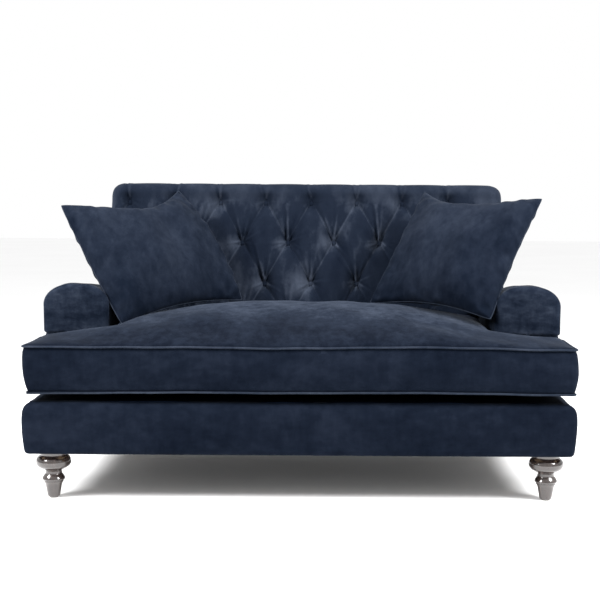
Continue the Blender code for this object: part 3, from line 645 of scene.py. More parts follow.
class Wardrobe:
    """All the finishes, each made once."""

    def __init__(self) -> None:
        """Makes the finishes."""
        self.velvet = Velvet("velvet_upholstery").make()
        # A darker copy of the velvet: painted shade on the upright border and the cushion's boxed
        # sides.
        self.border_shade_velvet = Velvet(
            "velvet_border_painted_shade",
            deep=(0.0016, 0.0031, 0.0071),
            mid=(0.0032, 0.0053, 0.0107),
            pale=(0.0063, 0.0092, 0.0167),
            sheen=0.04,
            contrast=1.0,
            brushed=(0.6, 1.0, 1.0),
        ).make()
        # A copy of the velvet with a darker middle and paler highs: painted light and shade for how
        # light falls on the buttoned back.
        self.back_velvet = Velvet(
            "velvet_back",
            deep=(0.0023, 0.0042, 0.0092),
            mid=(0.0054, 0.0082, 0.0151),
            pale=(0.0286, 0.0354, 0.0510),
            sheen=0.05,
            contrast=0.60,
            crush=8.0,
            fine=0.7,
        ).make()
        # A flatter copy of the velvet: painted light and shade for how light falls on the arms and
        # the covers of the back.
        self.arm_velvet = Velvet(
            "velvet_arm",
            deep=(0.0031, 0.0054, 0.0112),
            mid=(0.0076, 0.0112, 0.0199),
            pale=(0.0163, 0.0216, 0.0337),
            contrast=1.4,
            brushed=(0.7, 1.0, 1.3),
        ).make()
        # A darker copy of the velvet: painted shade on the pillows.
        self.pillow_velvet = Velvet(
            "velvet_pillow",
            deep=(0.0024, 0.0044, 0.0094),
            mid=(0.0056, 0.0084, 0.0154),
            pale=(0.0109, 0.0148, 0.0243),
            sheen=0.04,
            contrast=0.9,
            crush=5.0,
        ).make()
        # A lighter copy of the velvet: painted highlight on the welts and the pillows' seams.
        self.welt_highlight_velvet = Velvet(
            "velvet_welt_painted_highlight",
            deep=(0.0100, 0.0142, 0.0233),
            mid=(0.0150, 0.0196, 0.0296),
            pale=(0.0225, 0.0282, 0.0410),
            sheen=0.03,
            contrast=1.0,
        ).make()
        self.lacquer = LegLacquer().make()
        self.timber = Grained(
            "frame_timber",
            scale=18.0,
            tones=(
                (0.30, (0.36, 0.22, 0.11)),
                (0.52, (0.55, 0.38, 0.22)),
                (0.75, (0.66, 0.50, 0.32)),
            ),
            rough=(0.2, 0.58),
            detail=6.0,
            octaves=0.6,
            stretch=(0.5, 7.0, 7.0),
            bump=0.3,
            depth=0.0008,
        ).make()
        self.steel = Grained(
            "steel_wire",
            scale=90.0,
            tones=((0.3, (0.30, 0.30, 0.31)), (0.7, (0.52, 0.52, 0.53))),
            rough=(0.25, 0.25),
            metallic=1.0,
        ).make()
        self.webbing = Woven("jute_webbing", (0.20, 0.15, 0.10), (0.38, 0.31, 0.22), 300.0).make()
        self.felt = Woven(
            "deck_cloth", (0.0012, 0.0030, 0.0080), (0.0024, 0.0052, 0.0130), 500.0
        ).make()
        self.cambric = Woven(
            "dust_cloth_finish", (0.008, 0.008, 0.009), (0.022, 0.022, 0.024), 700.0
        ).make()
        self.nylon = Grained(
            "moulded_nylon",
            scale=220.0,
            tones=((0.35, (0.22, 0.21, 0.20)), (0.65, (0.32, 0.30, 0.28))),
            rough=(0.0, 0.55),
            bump=0.2,
            depth=0.0003,
        ).make()

    def dress_frame(self) -> None:
        """Gives every node of the frame the finish of its slot."""
        wanted = {
            "velvet": self.velvet,
            "leg_lacquer": self.lacquer,
            "frame_wood": self.timber,
            "spring_steel": self.steel,
            "webbing": self.webbing,
            "deck_felt": self.felt,
            "dust_cloth": self.cambric,
            "glide_nylon": self.nylon,
        }
        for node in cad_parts.values():
            for slot in node.material_slots:
                base = slot.material.name.split(".")[0]
                slot.material = wanted.get(base, self.timber)


def dress(
    obj: bpy.types.Object, material: bpy.types.Material
) -> bpy.types.Object:
    """Puts one finish on a piece."""
    obj.data.materials.clear()
    obj.data.materials.append(material)
    return obj


# ------------------------------------------------------------------ T-shaped pads


@dataclass
class TeePad:
    """A T-shaped pad: a wide front part with ears, and a narrower part between the arms."""

    wide: float
    narrow: float
    ear_rear: float
    rear: float
    corner: float
    cell: float
    levels: int
    start: float = 0.0

    def lines(self) -> tuple[Array, Array]:
        """The X lines and the depth lines of the pad's grid."""
        ear = max(2, round((self.wide - self.narrow) / self.cell))
        middle = 2 * round(self.narrow / self.cell)
        front = max(2, round((self.ear_rear - self.start) / self.cell))
        back = max(2, round((self.rear - self.ear_rear) / self.cell))
        across = np.concatenate(
            (
                np.linspace(-self.wide, -self.narrow, ear + 1),
                np.linspace(-self.narrow, self.narrow, middle + 1)[1:],
                np.linspace(self.narrow, self.wide, ear + 1)[1:],
            )
        )
        depths = np.concatenate(
            (
                np.linspace(self.start, self.ear_rear, front + 1),
                np.linspace(self.ear_rear, self.rear, back + 1)[1:],
            )
        )
        return across, depths

    def corners(self) -> list[tuple[float, float, float, float]]:
        """The outward corners: X, depth, and the direction of the inside in each."""
        found = []
        for side in (-1.0, 1.0):
            found.append((side * self.wide, self.start, -side, 1.0))
            found.append((side * self.wide, self.ear_rear, -side, -1.0))
            found.append((side * self.narrow, self.rear, -side, -1.0))
        return found

    def rounded(self, x: Array, depth: Array) -> tuple[Array, Array]:
        """Moves points near the outward corners so that the corners are round."""
        x, depth = x.copy(), depth.copy()
        radius = self.corner
        for cx, cd, ix, id_ in self.corners():
            p = 1 - (x - cx) * ix / radius
            q = 1 - (depth - cd) * id_ / radius
            inside = (p > 0) & (q > 0) & (p <= 1.001) & (q <= 1.001)
            p2 = p * np.sqrt(1 - np.clip(q, 0, 1) ** 2 / 2)
            q2 = q * np.sqrt(1 - np.clip(p, 0, 1) ** 2 / 2)
            x = np.where(inside, cx + ix * radius * (1 - p2), x)
            depth = np.where(inside, cd + id_ * radius * (1 - q2), depth)
        return x, depth

    def outline(self) -> Array:
        """The pad's edge as rows of X and depth, in order, before its corners are rounded."""
        across, depths = self.lines()
        ear = across[across >= self.narrow - MERGE]
        front = depths[depths <= self.ear_rear + MERGE]
        back = depths[depths >= self.ear_rear - MERGE]
        middle = across[abs(across) <= self.narrow + MERGE]
        right = [(self.wide, d) for d in front[:-1]]
        right += [(x, self.ear_rear) for x in ear[::-1][:-1]]
        right += [(self.narrow, d) for d in back[:-1]]
        path = [(x, self.start) for x in across[:-1]] + right
        path += [(x, self.rear) for x in middle[::-1][:-1]]
        path += [(-x, d) for x, d in reversed([*right[1:], (self.narrow, self.rear)])]
        return np.array(path)

    def edge_normals(self, path: Array) -> Array:
        """Outward directions along a closed path that runs anticlockwise in X and depth."""
        ahead = np.roll(path, -1, 0) - np.roll(path, 1, 0)
        out = np.column_stack((ahead[:, 1], -ahead[:, 0]))
        return out / np.linalg.norm(out, axis=1)[:, None]

    def raised(self, name: str) -> bpy.types.Object:
        """The flat T, extruded upwards one unit for each level.

        Args:
            name: The piece's name.

        Returns:
            A closed block whose Z counts the levels.
        """
        across, depths = self.lines()

        def place(u: Array, v: Array) -> tuple[Array, Array, Array]:
            return across[nth(u, len(across))], depths[nth(v, len(depths))], np.zeros_like(u)

        obj = grid_piece(name, len(across) - 1, len(depths) - 1, place)
        drop_faces(obj, lambda c: abs(c.x) > self.narrow and c.y > self.ear_rear)
        bpy.ops.object.mode_set(mode="EDIT")
        bpy.ops.mesh.select_all(action="SELECT")
        for _ in range(self.levels):
            bpy.ops.mesh.extrude_region_move(TRANSFORM_OT_translate={"value": (0, 0, 1)})
        bpy.ops.mesh.select_all(action="SELECT")
        bpy.ops.mesh.normals_make_consistent(inside=False)
        bpy.ops.object.mode_set(mode="OBJECT")
        return obj


@dataclass
class SeatCushion:
    """The loose T cushion: crowned above, boxed between two welts, flat where it rests."""

    sizes: FrameSizes
    wardrobe: Wardrobe
    overhang: float = 0.0025
    clearance: float = 0.005
    welt_top: float = 0.4560
    welt_bottom: float = 0.3250
    crown: float = 0.0955  # above the puff of the edge
    edge_puff: float = 0.009  # how far the cover stands up just inside the top welt
    peak_depth: float = 0.37
    welt_radius: float = 0.0031
    pucker: float = 0.0012  # the height of the gathers along the top welt
    underside_roll: float = 0.110  # how far in from its edge the underside comes to rest
    bulge: float = 0.0065
    levels: int = 9
    # Painted light and shade on the top by depth, as depths and values: painted shade down the
    # front slope, lighter towards the crown.
    painted_light_by_depth: tuple[tuple[float, ...], tuple[float, ...]] = (
        (0.0, 0.05, 0.12, 0.20, 0.30, 0.37),
        (-0.16, -0.13, -0.08, 0.03, 0.09, 0.12),
    )
    tee: TeePad = field(init=False)

    def __post_init__(self) -> None:
        """Sets out the T."""
        self.tee = TeePad(
            wide=self.sizes.half_width + self.overhang,
            narrow=self.sizes.arm_inner - self.clearance,
            ear_rear=self.sizes.ear_rear,
            rear=self.sizes.cushion_rear,
            corner=0.020,
            cell=0.0088,
            levels=self.levels,
            start=0.002,
        )
        self.sag = Ripple(5, 0.55)
        self.dent = Ripple(8, 0.16)

    def tuck(self, x: Array) -> Array:
        """How far the bottom welt lies inside the top one: the loose cover has slewed a little."""
        return 0.0070 - 0.0050 * np.clip(x / self.tee.wide, -1, 1)

    def dip(self, x: Array) -> Array:
        """How much lower the bottom welt hangs towards the left end."""
        return 0.006 * np.clip(-x / self.tee.wide, 0, 1) ** 2

    def waver(self, x: Array, depth: Array) -> Array:
        """How far the welts wander up or down."""
        points = spots(x, depth, 0.0)
        return 0.0016 * self.sag.at(points) + 0.0005 * self.dent.at(points)

    def edge_distance(self, x: Array, depth: Array) -> Array:
        """Distance from the pad's edge, for points inside the T."""
        tee = self.tee
        in_ear = depth < tee.ear_rear
        side = np.where(in_ear, tee.wide - abs(x), tee.narrow - abs(x))
        behind = np.where(
            in_ear & (abs(x) > tee.narrow), tee.ear_rear - depth, tee.rear - depth
        )
        notch = np.hypot(
            np.maximum(tee.narrow - abs(x), 0), np.maximum(tee.ear_rear - depth, 0)
        )
        near = np.minimum.reduce([side, behind, depth - tee.start])
        beside = in_ear & (abs(x) <= tee.narrow)
        return np.maximum(np.where(beside, np.minimum(near, notch), near), 0)

    def height(self, x: Array, depth: Array) -> Array:
        """Height of the crown above the top welt."""
        tee = self.tee
        rise = np.sin(math.pi / 2 * np.clip(depth / self.peak_depth, 0, 1)) ** 0.95
        past = np.clip((depth - self.peak_depth) / (tee.rear - self.peak_depth), 0, 1)
        along = np.where(depth < self.peak_depth, rise, 1 - past**3)
        across = np.maximum(1 - (x / tee.wide) ** 2, 0)
        edge = self.edge_distance(x, depth)
        puff = self.edge_puff * (1 - np.exp(-edge / 0.014))
        points = spots(x, depth, 0.0)
        uneven = 0.0022 * self.sag.at(points) + 0.0011 * self.dent.at(points)
        pucker = self.pucker * np.sin(x * 120 + 3 * np.sin(x * 19)) * np.exp(-edge / 0.016)
        fade = 1 - np.exp(-edge / 0.02)
        crown = self.crown * along * across * fade**0.5
        return crown + puff + uneven * fade + pucker * fade

    def build_body(self) -> bpy.types.Object:
        """The cushion's cover and filling.

        Returns:
            The piece, closed and crowned.
        """
        tee = self.tee
        obj = tee.raised("seat_cushion_cover")
        path = tee.outline()
        round_x, round_d = tee.rounded(path[:, 0], path[:, 1])
        normals = tee.edge_normals(np.column_stack((round_x, round_d)))
        rim = KDTree(len(path))
        for index, (px, pd) in enumerate(path):
            rim.insert((px, pd, 0.0), index)
        rim.balance()
        start = points_of(obj)
        level = start[:, 2] / self.levels
        nearest = [rim.find((px, pd, 0.0))[1:] for px, pd, _ in start]
        outward = np.array([normals[index] if gap < 1e-4 else (0.0, 0.0) for index, gap in nearest])
        edge = np.abs(outward).sum(1) > 0
        x, depth = tee.rounded(start[:, 0], start[:, 1])
        wave = self.waver(x, depth)
        high = self.welt_top + wave
        low = self.welt_bottom + 0.6 * wave - self.dip(x)
        tuck = self.tuck(x)
        arch = np.sin(math.pi * level)
        belly = self.bulge * arch**0.6 - 0.0060 * (1 - arch) - tuck * (1 - level)
        points = spots(x, depth, 0.0)
        belly = belly + 0.0012 * self.dent.at(points + level[:, None] * 0.11) * arch
        under = self.edge_distance(x, depth)
        rest = self.sizes.deck_top + 0.0012
        floor = rest + (low + 0.004 - rest) * np.exp(-((under / self.underside_roll) ** 3))
        z = np.where(level > 0.999, high + self.height(x, depth), floor)
        z = np.where(edge, low + (high - low) * level, z)
        push = np.where(edge, belly, 0)
        x = x + outward[:, 0] * push
        depth = depth + outward[:, 1] * push
        set_points(obj, np.column_stack((x, self.sizes.y(depth), z)))
        # Painted light on the cushion's top: painted shade at the front, lighter towards the crown,
        # and near the front darker on the left and lighter on the right.
        top_painted_light = np.interp(depth, *self.painted_light_by_depth) + 0.06 * x * ease(-depth, -0.30, -0.10)
        store_values(obj, np.where(level > 0.999, top_painted_light, 0.0))
        for material in (self.wardrobe.velvet, self.wardrobe.border_shade_velvet, self.wardrobe.felt):
            obj.data.materials.append(material)
        # The upright sides take the darker velvet, painted shade; the faces that look down take the
        # deck cloth.
        for face in obj.data.polygons:
            if face.center.z < self.welt_top and face.normal.z < 0.35:
                face.material_index = 2 if face.normal.z < -0.5 else 1
        return smooth(obj, 60)

    def welt(self, name: str, height: float, inset: float, share: float) -> bpy.types.Object:
        """A piped welt round the T.

        Args:
            name: The piece's name.
            height: Of its middle.
            inset: How much of the tuck it follows inwards.
            share: How much of the waver it follows.

        Returns:
            The piece.
        """
        path = self.tee.outline()
        x, depth = self.tee.rounded(path[:, 0], path[:, 1])
        normals = self.tee.edge_normals(np.column_stack((x, depth)))
        z = height + share * self.waver(x, depth) - inset * self.dip(x)
        inward = 0.0012 + inset * self.tuck(x)
        x = x - normals[:, 0] * inward
        depth = depth - normals[:, 1] * inward
        return tube(name, np.column_stack((x, self.sizes.y(depth), z)), self.welt_radius, 10)

    def build(self) -> list[bpy.types.Object]:
        """Builds the cushion and both welts.

        Returns:
            The pieces.
        """
        body = self.build_body()
        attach(body, "seat_cushion")
        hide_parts("seat_cushion")
        pieces = [body]
        for name, height, inset, share in (
            ("cushion_welt_top", self.welt_top, 0.0, 1.0),
            ("cushion_welt_bottom", self.welt_bottom, 1.0, 0.6),
        ):
            welt = dress(self.welt(name, height, inset, share), self.wardrobe.welt_highlight_velvet)
            pieces.append(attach(welt, "seat_cushion"))
        return pieces


@dataclass
class SeatDeck:
    """The padded deck under the cushion, covered in plain cloth."""

    sizes: FrameSizes
    wardrobe: Wardrobe
    levels: int = 4

    def build(self) -> list[bpy.types.Object]:
        """Builds the deck.

        Returns:
            The pieces.
        """
        low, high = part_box("seat_deck")
        tee = TeePad(
            wide=high.x,
            narrow=self.sizes.arm_inner - 0.001,
            ear_rear=self.sizes.arm_front + 0.012,
            rear=high.y - self.sizes.front,
            corner=0.012,
            cell=0.022,
            levels=self.levels,
            start=low.y - self.sizes.front,
        )
        obj = tee.raised("seat_deck_pad")
        start = points_of(obj)
        level = start[:, 2] / self.levels
        x, depth = tee.rounded(start[:, 0], start[:, 1])
        z = low.z + (high.z - low.z - 0.001) * level
        quilt = 0.0010 * Ripple(31, 0.2).at(np.column_stack((x, depth, level))) - 0.0012
        z = z + np.where(level > 0.99, quilt, 0)
        set_points(obj, np.column_stack((x, self.sizes.y(depth), z)))
        dress(smooth(obj, 60), self.wardrobe.felt)
        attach(obj, FRAME_BODY)
        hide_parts("seat_deck")
        return [obj]


# ------------------------------------------------------------------ pillows


@dataclass
class Pillow:
    """A square knife-edge scatter pillow, pulled in between its pointed corners."""

    sizes: FrameSizes
    wardrobe: Wardrobe
    side: Side
    half: float = 0.227
    thickness: float = 0.138
    turn: float = math.radians(34.5)
    lean: float = math.radians(34.5)
    cells: int = 84
    seam_radius: float = 0.0021

    @property
    def roll(self) -> float:
        """How far the pillow has tipped round its own face."""
        return math.radians(9 if self.side is Side.LEFT else 4)

    def matrix(self) -> Matrix:
        """Where the pillow leans."""
        low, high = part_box(f"pillow_{self.side.word}")
        way = self.side.value
        turned = Euler((-self.lean, way * self.roll, -way * self.turn), "YXZ").to_matrix().to_4x4()
        return Matrix.Translation((low + high) / 2) @ turned

    @property
    def slump(self) -> float:
        """How far the upper inner corner has sagged outwards, and the whole top has slewed."""
        return 0.012 if self.side is Side.LEFT else 0.008

    @property
    def pulls(self) -> tuple[float, float, float, float]:
        """How far the inner, outer, top and bottom edges are drawn in between the corners."""
        if self.side is Side.LEFT:
            return -0.024, -0.002, 0.056, 0.030
        return 0.008, 0.012, 0.046, 0.030

    def shape(self, u: Array, v: Array, face: float) -> Array:
        """Points of one face.

        Args:
            u: Across, from -1 to 1.
            v: Up, from -1 to 1.
            face: -1 for the front, +1 for the back.

        Returns:
            Rows of points in the pillow's own frame.
        """
        seed = 40 + self.side.value + int(face) * 3
        soft = Ripple(seed, 0.17)
        fine = Ripple(seed + 50, 0.045)
        inner, outer, top, bottom = self.pulls
        inwards = -self.side.value
        at_side = np.where(u * inwards > 0, inner, outer) * np.abs(u)
        at_end = np.where(v > 0, top * (1 + 0.6 * u * inwards), bottom) * np.abs(v)
        blunt = 1 - 0.012 * np.abs(u * v) ** 14
        x = u * (self.half - at_side * (1 - v * v) ** 1.15) * blunt
        z = v * (self.half - at_end * (1 - u * u) ** 1.15) * blunt
        inner_top = ((1 + u * inwards) / 2 * (1 + v) / 2) ** 2.5
        x = x - inwards * (self.slump * inner_top + self.slump * v)
        z = z - 0.4 * self.slump * inner_top
        rim_u, rim_v = 1 - u * u, 1 - v * v
        puff = np.maximum(rim_u * rim_v, 0) ** 0.47
        flat = spots(x, face * 0.05, z)
        away = np.maximum(np.minimum(1 - abs(u), 1 - abs(v)), 0) * self.half
        gather = np.exp(-away / 0.030) * (1 - np.exp(-away / 0.006))
        draw = fine.at(flat) * 0.0040 * gather + soft.at(flat) * 0.0045 * (1 - np.exp(-away / 0.03))
        y = face * (self.thickness / 2 * puff + draw * np.where(puff > 0, 1, 0))
        return np.column_stack((x, y, z))

    def build(self) -> list[bpy.types.Object]:
        """Builds the pillow and its seam.

        Returns:
            The pieces.
        """
        word = self.side.word
        halves = []
        for face in (-1.0, 1.0):

            def place(u: Array, v: Array, face: float = face) -> tuple[Array, Array, Array]:
                u2 = np.sin(math.pi / 2 * (2 * u - 1))
                v2 = np.sin(math.pi / 2 * (2 * v - 1))
                points = self.shape(u2, v2, face)
                return points[:, 0], points[:, 1], points[:, 2]

            halves.append(grid_piece(f"half_{face}", self.cells, self.cells, place))
        obj = closed(joined(f"pillow_{word}_cover", halves))
        local = points_of(obj) / self.half
        # Painted light and shade on the cover: lighter towards the top, painted shade towards the
        # foot, and darker in uneven patches towards the sides.
        side_darkening = Ripple(300 + self.side.value, 0.5).at(local) * ease(np.abs(local[:, 0]), 0.3, 0.9)
        foot = ease(-local[:, 2], 0.45, 1.0)
        store_values(obj, 0.030 * local[:, 2] - 0.050 * foot - 0.035 * np.abs(side_darkening) + 0.01)
        edge = np.linspace(-1, 1, self.cells + 1)[:-1]
        ends = np.sin(math.pi / 2 * edge)
        ones = np.ones_like(ends)
        ring_u = np.concatenate((ends, ones, -ends, -ones))
        ring_v = np.concatenate((-ones, ends, ones, -ends))
        seam = tube(f"pillow_{word}_seam", self.shape(ring_u, ring_v, -1.0), self.seam_radius, 6)
        for piece in (obj, seam):
            piece.data.transform(self.matrix())
            finish = self.wardrobe.pillow_velvet if piece is obj else self.wardrobe.welt_highlight_velvet
            smooth(dress(piece, finish), 85)
            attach(piece, f"pillow_{word}")
        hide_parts(f"pillow_{word}")
        return [obj, seam]


# ------------------------------------------------------------------ buttoned back


@dataclass
class TuftedBack:
    """The deep-buttoned back: puffed diamonds between folded pleats, over a rolled top."""

    sizes: FrameSizes
    wardrobe: Wardrobe
    foot_depth: float = 0.611
    upright: float = 0.124
    lean: float = 0.305
    pitch: float = 0.159
    row_pitch: float = 0.139
    top_drop: float = 0.057
    shift: float = 0.017
    margin: float = 0.045
    rows: int = 4
    depth: float = 0.036
    crease: float = 0.76  # how full a pleat stays half way between two buttons
    dimple: float = 0.036  # how far a button's own hollow reaches
    button_radius: float = 0.0115
    roll: float = 0.050
    rear_roll: float = 0.040
    end_roll: float = 0.052
    cell: float = 0.0039
    # Painted light and painted shade beside each button: how far right and up, half width and
    # height, and tone
    button_painted_light: tuple[tuple[float, ...], ...] = (
        (-0.022, -0.010, 0.034, 0.026, 0.170),
        (0.030, -0.034, 0.030, 0.040, -0.110),
    )
    # A painted shade patch above and to the right of each button, in the same columns.
    button_shade: tuple[float, ...] = (0.012, 0.012, 0.014, 0.016, -0.045)
    wrinkle_highlight: float = 30.0  # painted highlight: how much lighter the colour is for each metre a fold stands up

    def face_depth(self, z: Array | float) -> Array | float:
        """Depth of the leaning face at a height."""
        return self.foot_depth + self.lean * (z - self.sizes.deck_top - self.upright)

    def button_places(self) -> list[list[tuple[float, float]]]:
        """(x, z) of each button, row by row from the top."""
        found = []
        for row in range(self.rows):
            z = self.sizes.back_top - self.top_drop - row * self.row_pitch
            over_arm = z > self.sizes.arm_top
            half = (self.sizes.back_half if over_arm else self.sizes.arm_inner) - self.margin
            start = self.shift + (row % 2) * self.pitch / 2
            xs = [start + i * self.pitch for i in range(-8, 9)]
            found.append([(x, z) for x in xs if abs(x) <= half])
        return found

    def profile(self) -> tuple[Array, Array]:
        """The pad's side view from its foot, up the face, over the top and down behind.

        Returns:
            Rows of (depth, z), evenly spaced, and the distance along them.
        """
        top, roll = self.sizes.back_top + 0.003, self.roll
        rear = self.sizes.frame_rear - SKIN
        low = self.sizes.deck_top + SKIN
        bend = self.sizes.deck_top + self.upright
        path = [(self.foot_depth, low), (self.foot_depth, bend - 0.03)]
        shoulder = top - roll
        for t in np.linspace(0, 1, 12)[1:]:
            height = bend - 0.03 + 0.06 * t
            path.append((self.foot_depth + self.lean * 0.03 * t * t, height))
        path.append((self.face_depth(shoulder), shoulder))
        tilt = math.atan(self.lean)
        centre = (self.face_depth(shoulder) + roll, shoulder)
        for angle in np.linspace(math.pi - tilt, math.pi / 2, 22)[1:]:
            path.append((centre[0] + roll * math.cos(angle), centre[1] + roll * math.sin(angle)))
        roll = self.rear_roll
        for angle in np.linspace(math.pi / 2, 0, 14):
            path.append(
                (rear - roll + roll * math.cos(angle), top - roll + roll * math.sin(angle))
            )
        path.append((rear, top - 0.075))
        line, along = evenly(np.array(path), cell=self.cell)
        return softened(line, 4), along

    def painted_light_round_buttons(self, x: Array, z: Array) -> Array:
        """Painted light round the buttons: lighter to their left and painted shade to their right,
        with a lighter band over the top row and thin painted highlights along the pleats below it.
        """
        total = np.zeros_like(x)
        for row, places in enumerate(self.button_places()):
            strength = 0.30 if row == 0 else 1.0
            for bx, bz in places:
                for right, up, wide, high, tone in self.button_painted_light:
                    near = np.hypot((x - bx - right) / wide, (z - bz - up) / high)
                    total += strength * tone * bump_of(near, 1.0)
                right, up, wide, high, tone = self.button_shade
                near = np.hypot((x - bx - right) / wide, (z - bz - up) / high)
                total += tone * bump_of(near, 1.0)
        top_row = self.sizes.back_top - self.top_drop
        total += 0.030 * ease(z, top_row - 0.05, top_row + 0.01)
        u = (x - self.shift) / self.pitch
        v = (top_row - z) / (2 * self.row_pitch)
        for line in (u + v, u - v):
            off = np.abs(line - np.rint(line)) * self.pitch
            total += 0.130 * bump_of(off, 0.0028) * ease(-z, -top_row, -top_row + 0.03)
        return total

    def wrinkles(self, x: Array, z: Array) -> Array:
        """Small folds that run out from the buttons, most of them upwards."""
        draw = np.random.default_rng(71)
        total = np.zeros_like(x)
        for row in self.button_places():
            for bx, bz in row:
                angles = np.concatenate(
                    (
                        draw.normal(math.pi / 2, 0.27, 7),
                        draw.normal(-0.35, 0.5, 5),
                        draw.uniform(math.pi, 1.9 * math.pi, 6),
                    )
                )
                lengths = draw.uniform(0.022, 0.050, len(angles)) * np.where(
                    np.arange(len(angles)) < 7, 1.7, 0.6
                )
                calm = 0.35 if bz > self.sizes.back_top - 1.5 * self.top_drop else 1.0
                sizes = draw.uniform(0.0022, 0.0052, len(angles)) * calm
                near = (abs(x - bx) < 0.13) & (abs(z - bz) < 0.13)
                px, pz = x[near] - bx, z[near] - bz
                local = np.zeros_like(px)
                for angle, length, size in zip(angles, lengths, sizes):
                    ahead = px * math.cos(angle) + pz * math.sin(angle)
                    across = -px * math.sin(angle) + pz * math.cos(angle)
                    width = 0.0026 + 0.022 * np.maximum(ahead, 0)
                    ray = np.exp(-np.maximum(ahead, 0) / length) * ease(ahead, 0.004, 0.016)
                    fold = bump_of(across, width) - 0.7 * bump_of(across - 2 * width, width)
                    local += size * ray * fold
                total[near] += local
        return total

    def hollow(self, x: Array, z: Array) -> Array:
        """How far the face lies behind its fullest point.

        Args:
            x: Across.
            z: Height, or for the top the distance over the roll added to the height.

        Returns:
            The hollow at each point, 0 at the fullest.
        """
        top_row = self.sizes.back_top - self.top_drop
        bottom_row = top_row - (self.rows - 1) * self.row_pitch
        u = (x - self.shift) / self.pitch
        v = (top_row - z) / (2 * self.row_pitch)
        first = np.abs(np.sin(math.pi * (u + v)))
        second = np.abs(np.sin(math.pi * (u - v)))
        diamonds = first * second
        above = np.sin(math.pi * u) ** 2
        below_u = u + (self.rows - 1) / 2
        below = np.sin(math.pi * below_u) ** 2
        pleat = np.where(z > top_row, above, np.where(z < bottom_row, below, diamonds))
        nearest = np.full_like(x, 9.0)
        for row in self.button_places():
            for bx, bz in row:
                nearest = np.minimum(nearest, np.hypot(x - bx, z - bz))
        crease = self.crease * (1 - np.exp(-((nearest / self.dimple) ** 2)))
        over = ease(z, top_row - 0.01, self.sizes.back_top + 0.02)
        beyond = ease(z, self.sizes.back_top, self.sizes.back_top + 0.12)
        crease = crease + (1 - crease) * np.maximum(0.90 * over, beyond)
        ends = ease(np.abs(x), self.sizes.back_half - 0.07, self.sizes.back_half + 0.01)
        crease = crease + (1 - crease) * 0.6 * ends
        fullness = crease + (1 - crease) * pleat**0.40
        return self.depth * (1 - fullness)

    def build_pad(self) -> bpy.types.Object:
        """The pad itself.

        Returns:
            The piece.
        """
        line, along = self.profile()
        ahead = np.gradient(line, axis=0)
        ahead /= np.linalg.norm(ahead, axis=1)[:, None]
        out = np.column_stack((-ahead[:, 1], ahead[:, 0]))
        sizes = self.sizes
        core_z = np.minimum(line[:, 1], sizes.back_top - 0.10)
        core = np.column_stack((np.full(len(line), sizes.frame_rear - 0.03), core_z))
        half = sizes.back_half - 0.001
        roll = self.end_roll
        flat = half - roll
        total = flat + roll * math.pi / 2 + 0.07
        count = 2 * round(total / self.cell)
        face_top = sizes.back_top - self.top_drop
        index_top = int(np.argmin(abs(line[:, 1] - face_top)))
        pattern = line[:, 1].copy()
        pattern[index_top:] = line[index_top, 1] + along[index_top:] - along[index_top]

        def place(u: Array, v: Array) -> tuple[Array, Array, Array]:
            row = nth(v, len(line))
            q = (2 * u - 1) * total
            way, q = np.sign(q), np.abs(q)
            turn = np.clip((q - flat) / roll, 0, math.pi / 2)
            x = np.where(q < flat, q, flat + roll * np.sin(turn))
            back = roll * (1 - np.cos(turn)) + np.maximum(q - flat - roll * math.pi / 2, 0)
            point, middle = line[row], core[row]
            inward = middle - point
            reach = np.linalg.norm(inward, axis=1)
            share = np.minimum(back / np.maximum(reach, 1e-6), 0.98)
            low_half = sizes.arm_inner - 0.002
            arm = sizes.arm_top - ARM_FALL_AT_BACK
            narrow = 1 - ease(point[:, 1], arm - 0.050, arm - 0.022)
            x = x - (half - low_half) * narrow * (x / half)
            x = x * way
            seen = ease(math.pi / 2 - turn, 0.0, 0.9)
            dent = self.hollow(x, pattern[row]) * seen + 0.001
            folds = self.wrinkles(x, pattern[row]) * seen
            moved = point + inward * share[:, None] - out[row] * (dent - folds)[:, None]
            return x, sizes.y(moved[:, 0]), moved[:, 1]

        obj = grid_piece("tufted_back_pad", count, len(line) - 1, place)
        x, y, z = points_of(obj).T
        # Painted light on the face of the pad: the patches round the buttons and painted highlights
        # on the folds.
        nap = self.painted_light_round_buttons(x, z) + self.wrinkle_highlight * self.wrinkles(x, z)
        store_values(obj, nap * (y < sizes.y(self.face_depth(z) + 0.06)))
        store_values(obj, 0.6 * ease(z, face_top - 0.02, face_top + 0.03), CALM)
        edit(
            obj,
            lambda: bpy.ops.mesh.select_all(action="DESELECT"),
            lambda: bpy.ops.mesh.select_non_manifold(extend=False),
            lambda: bpy.ops.mesh.extrude_edges_move(),
            lambda: bpy.ops.mesh.merge(type="CENTER"),
            lambda: bpy.ops.mesh.select_all(action="SELECT"),
            lambda: bpy.ops.mesh.normals_make_consistent(inside=False),
        )
        return smooth(obj, 75)

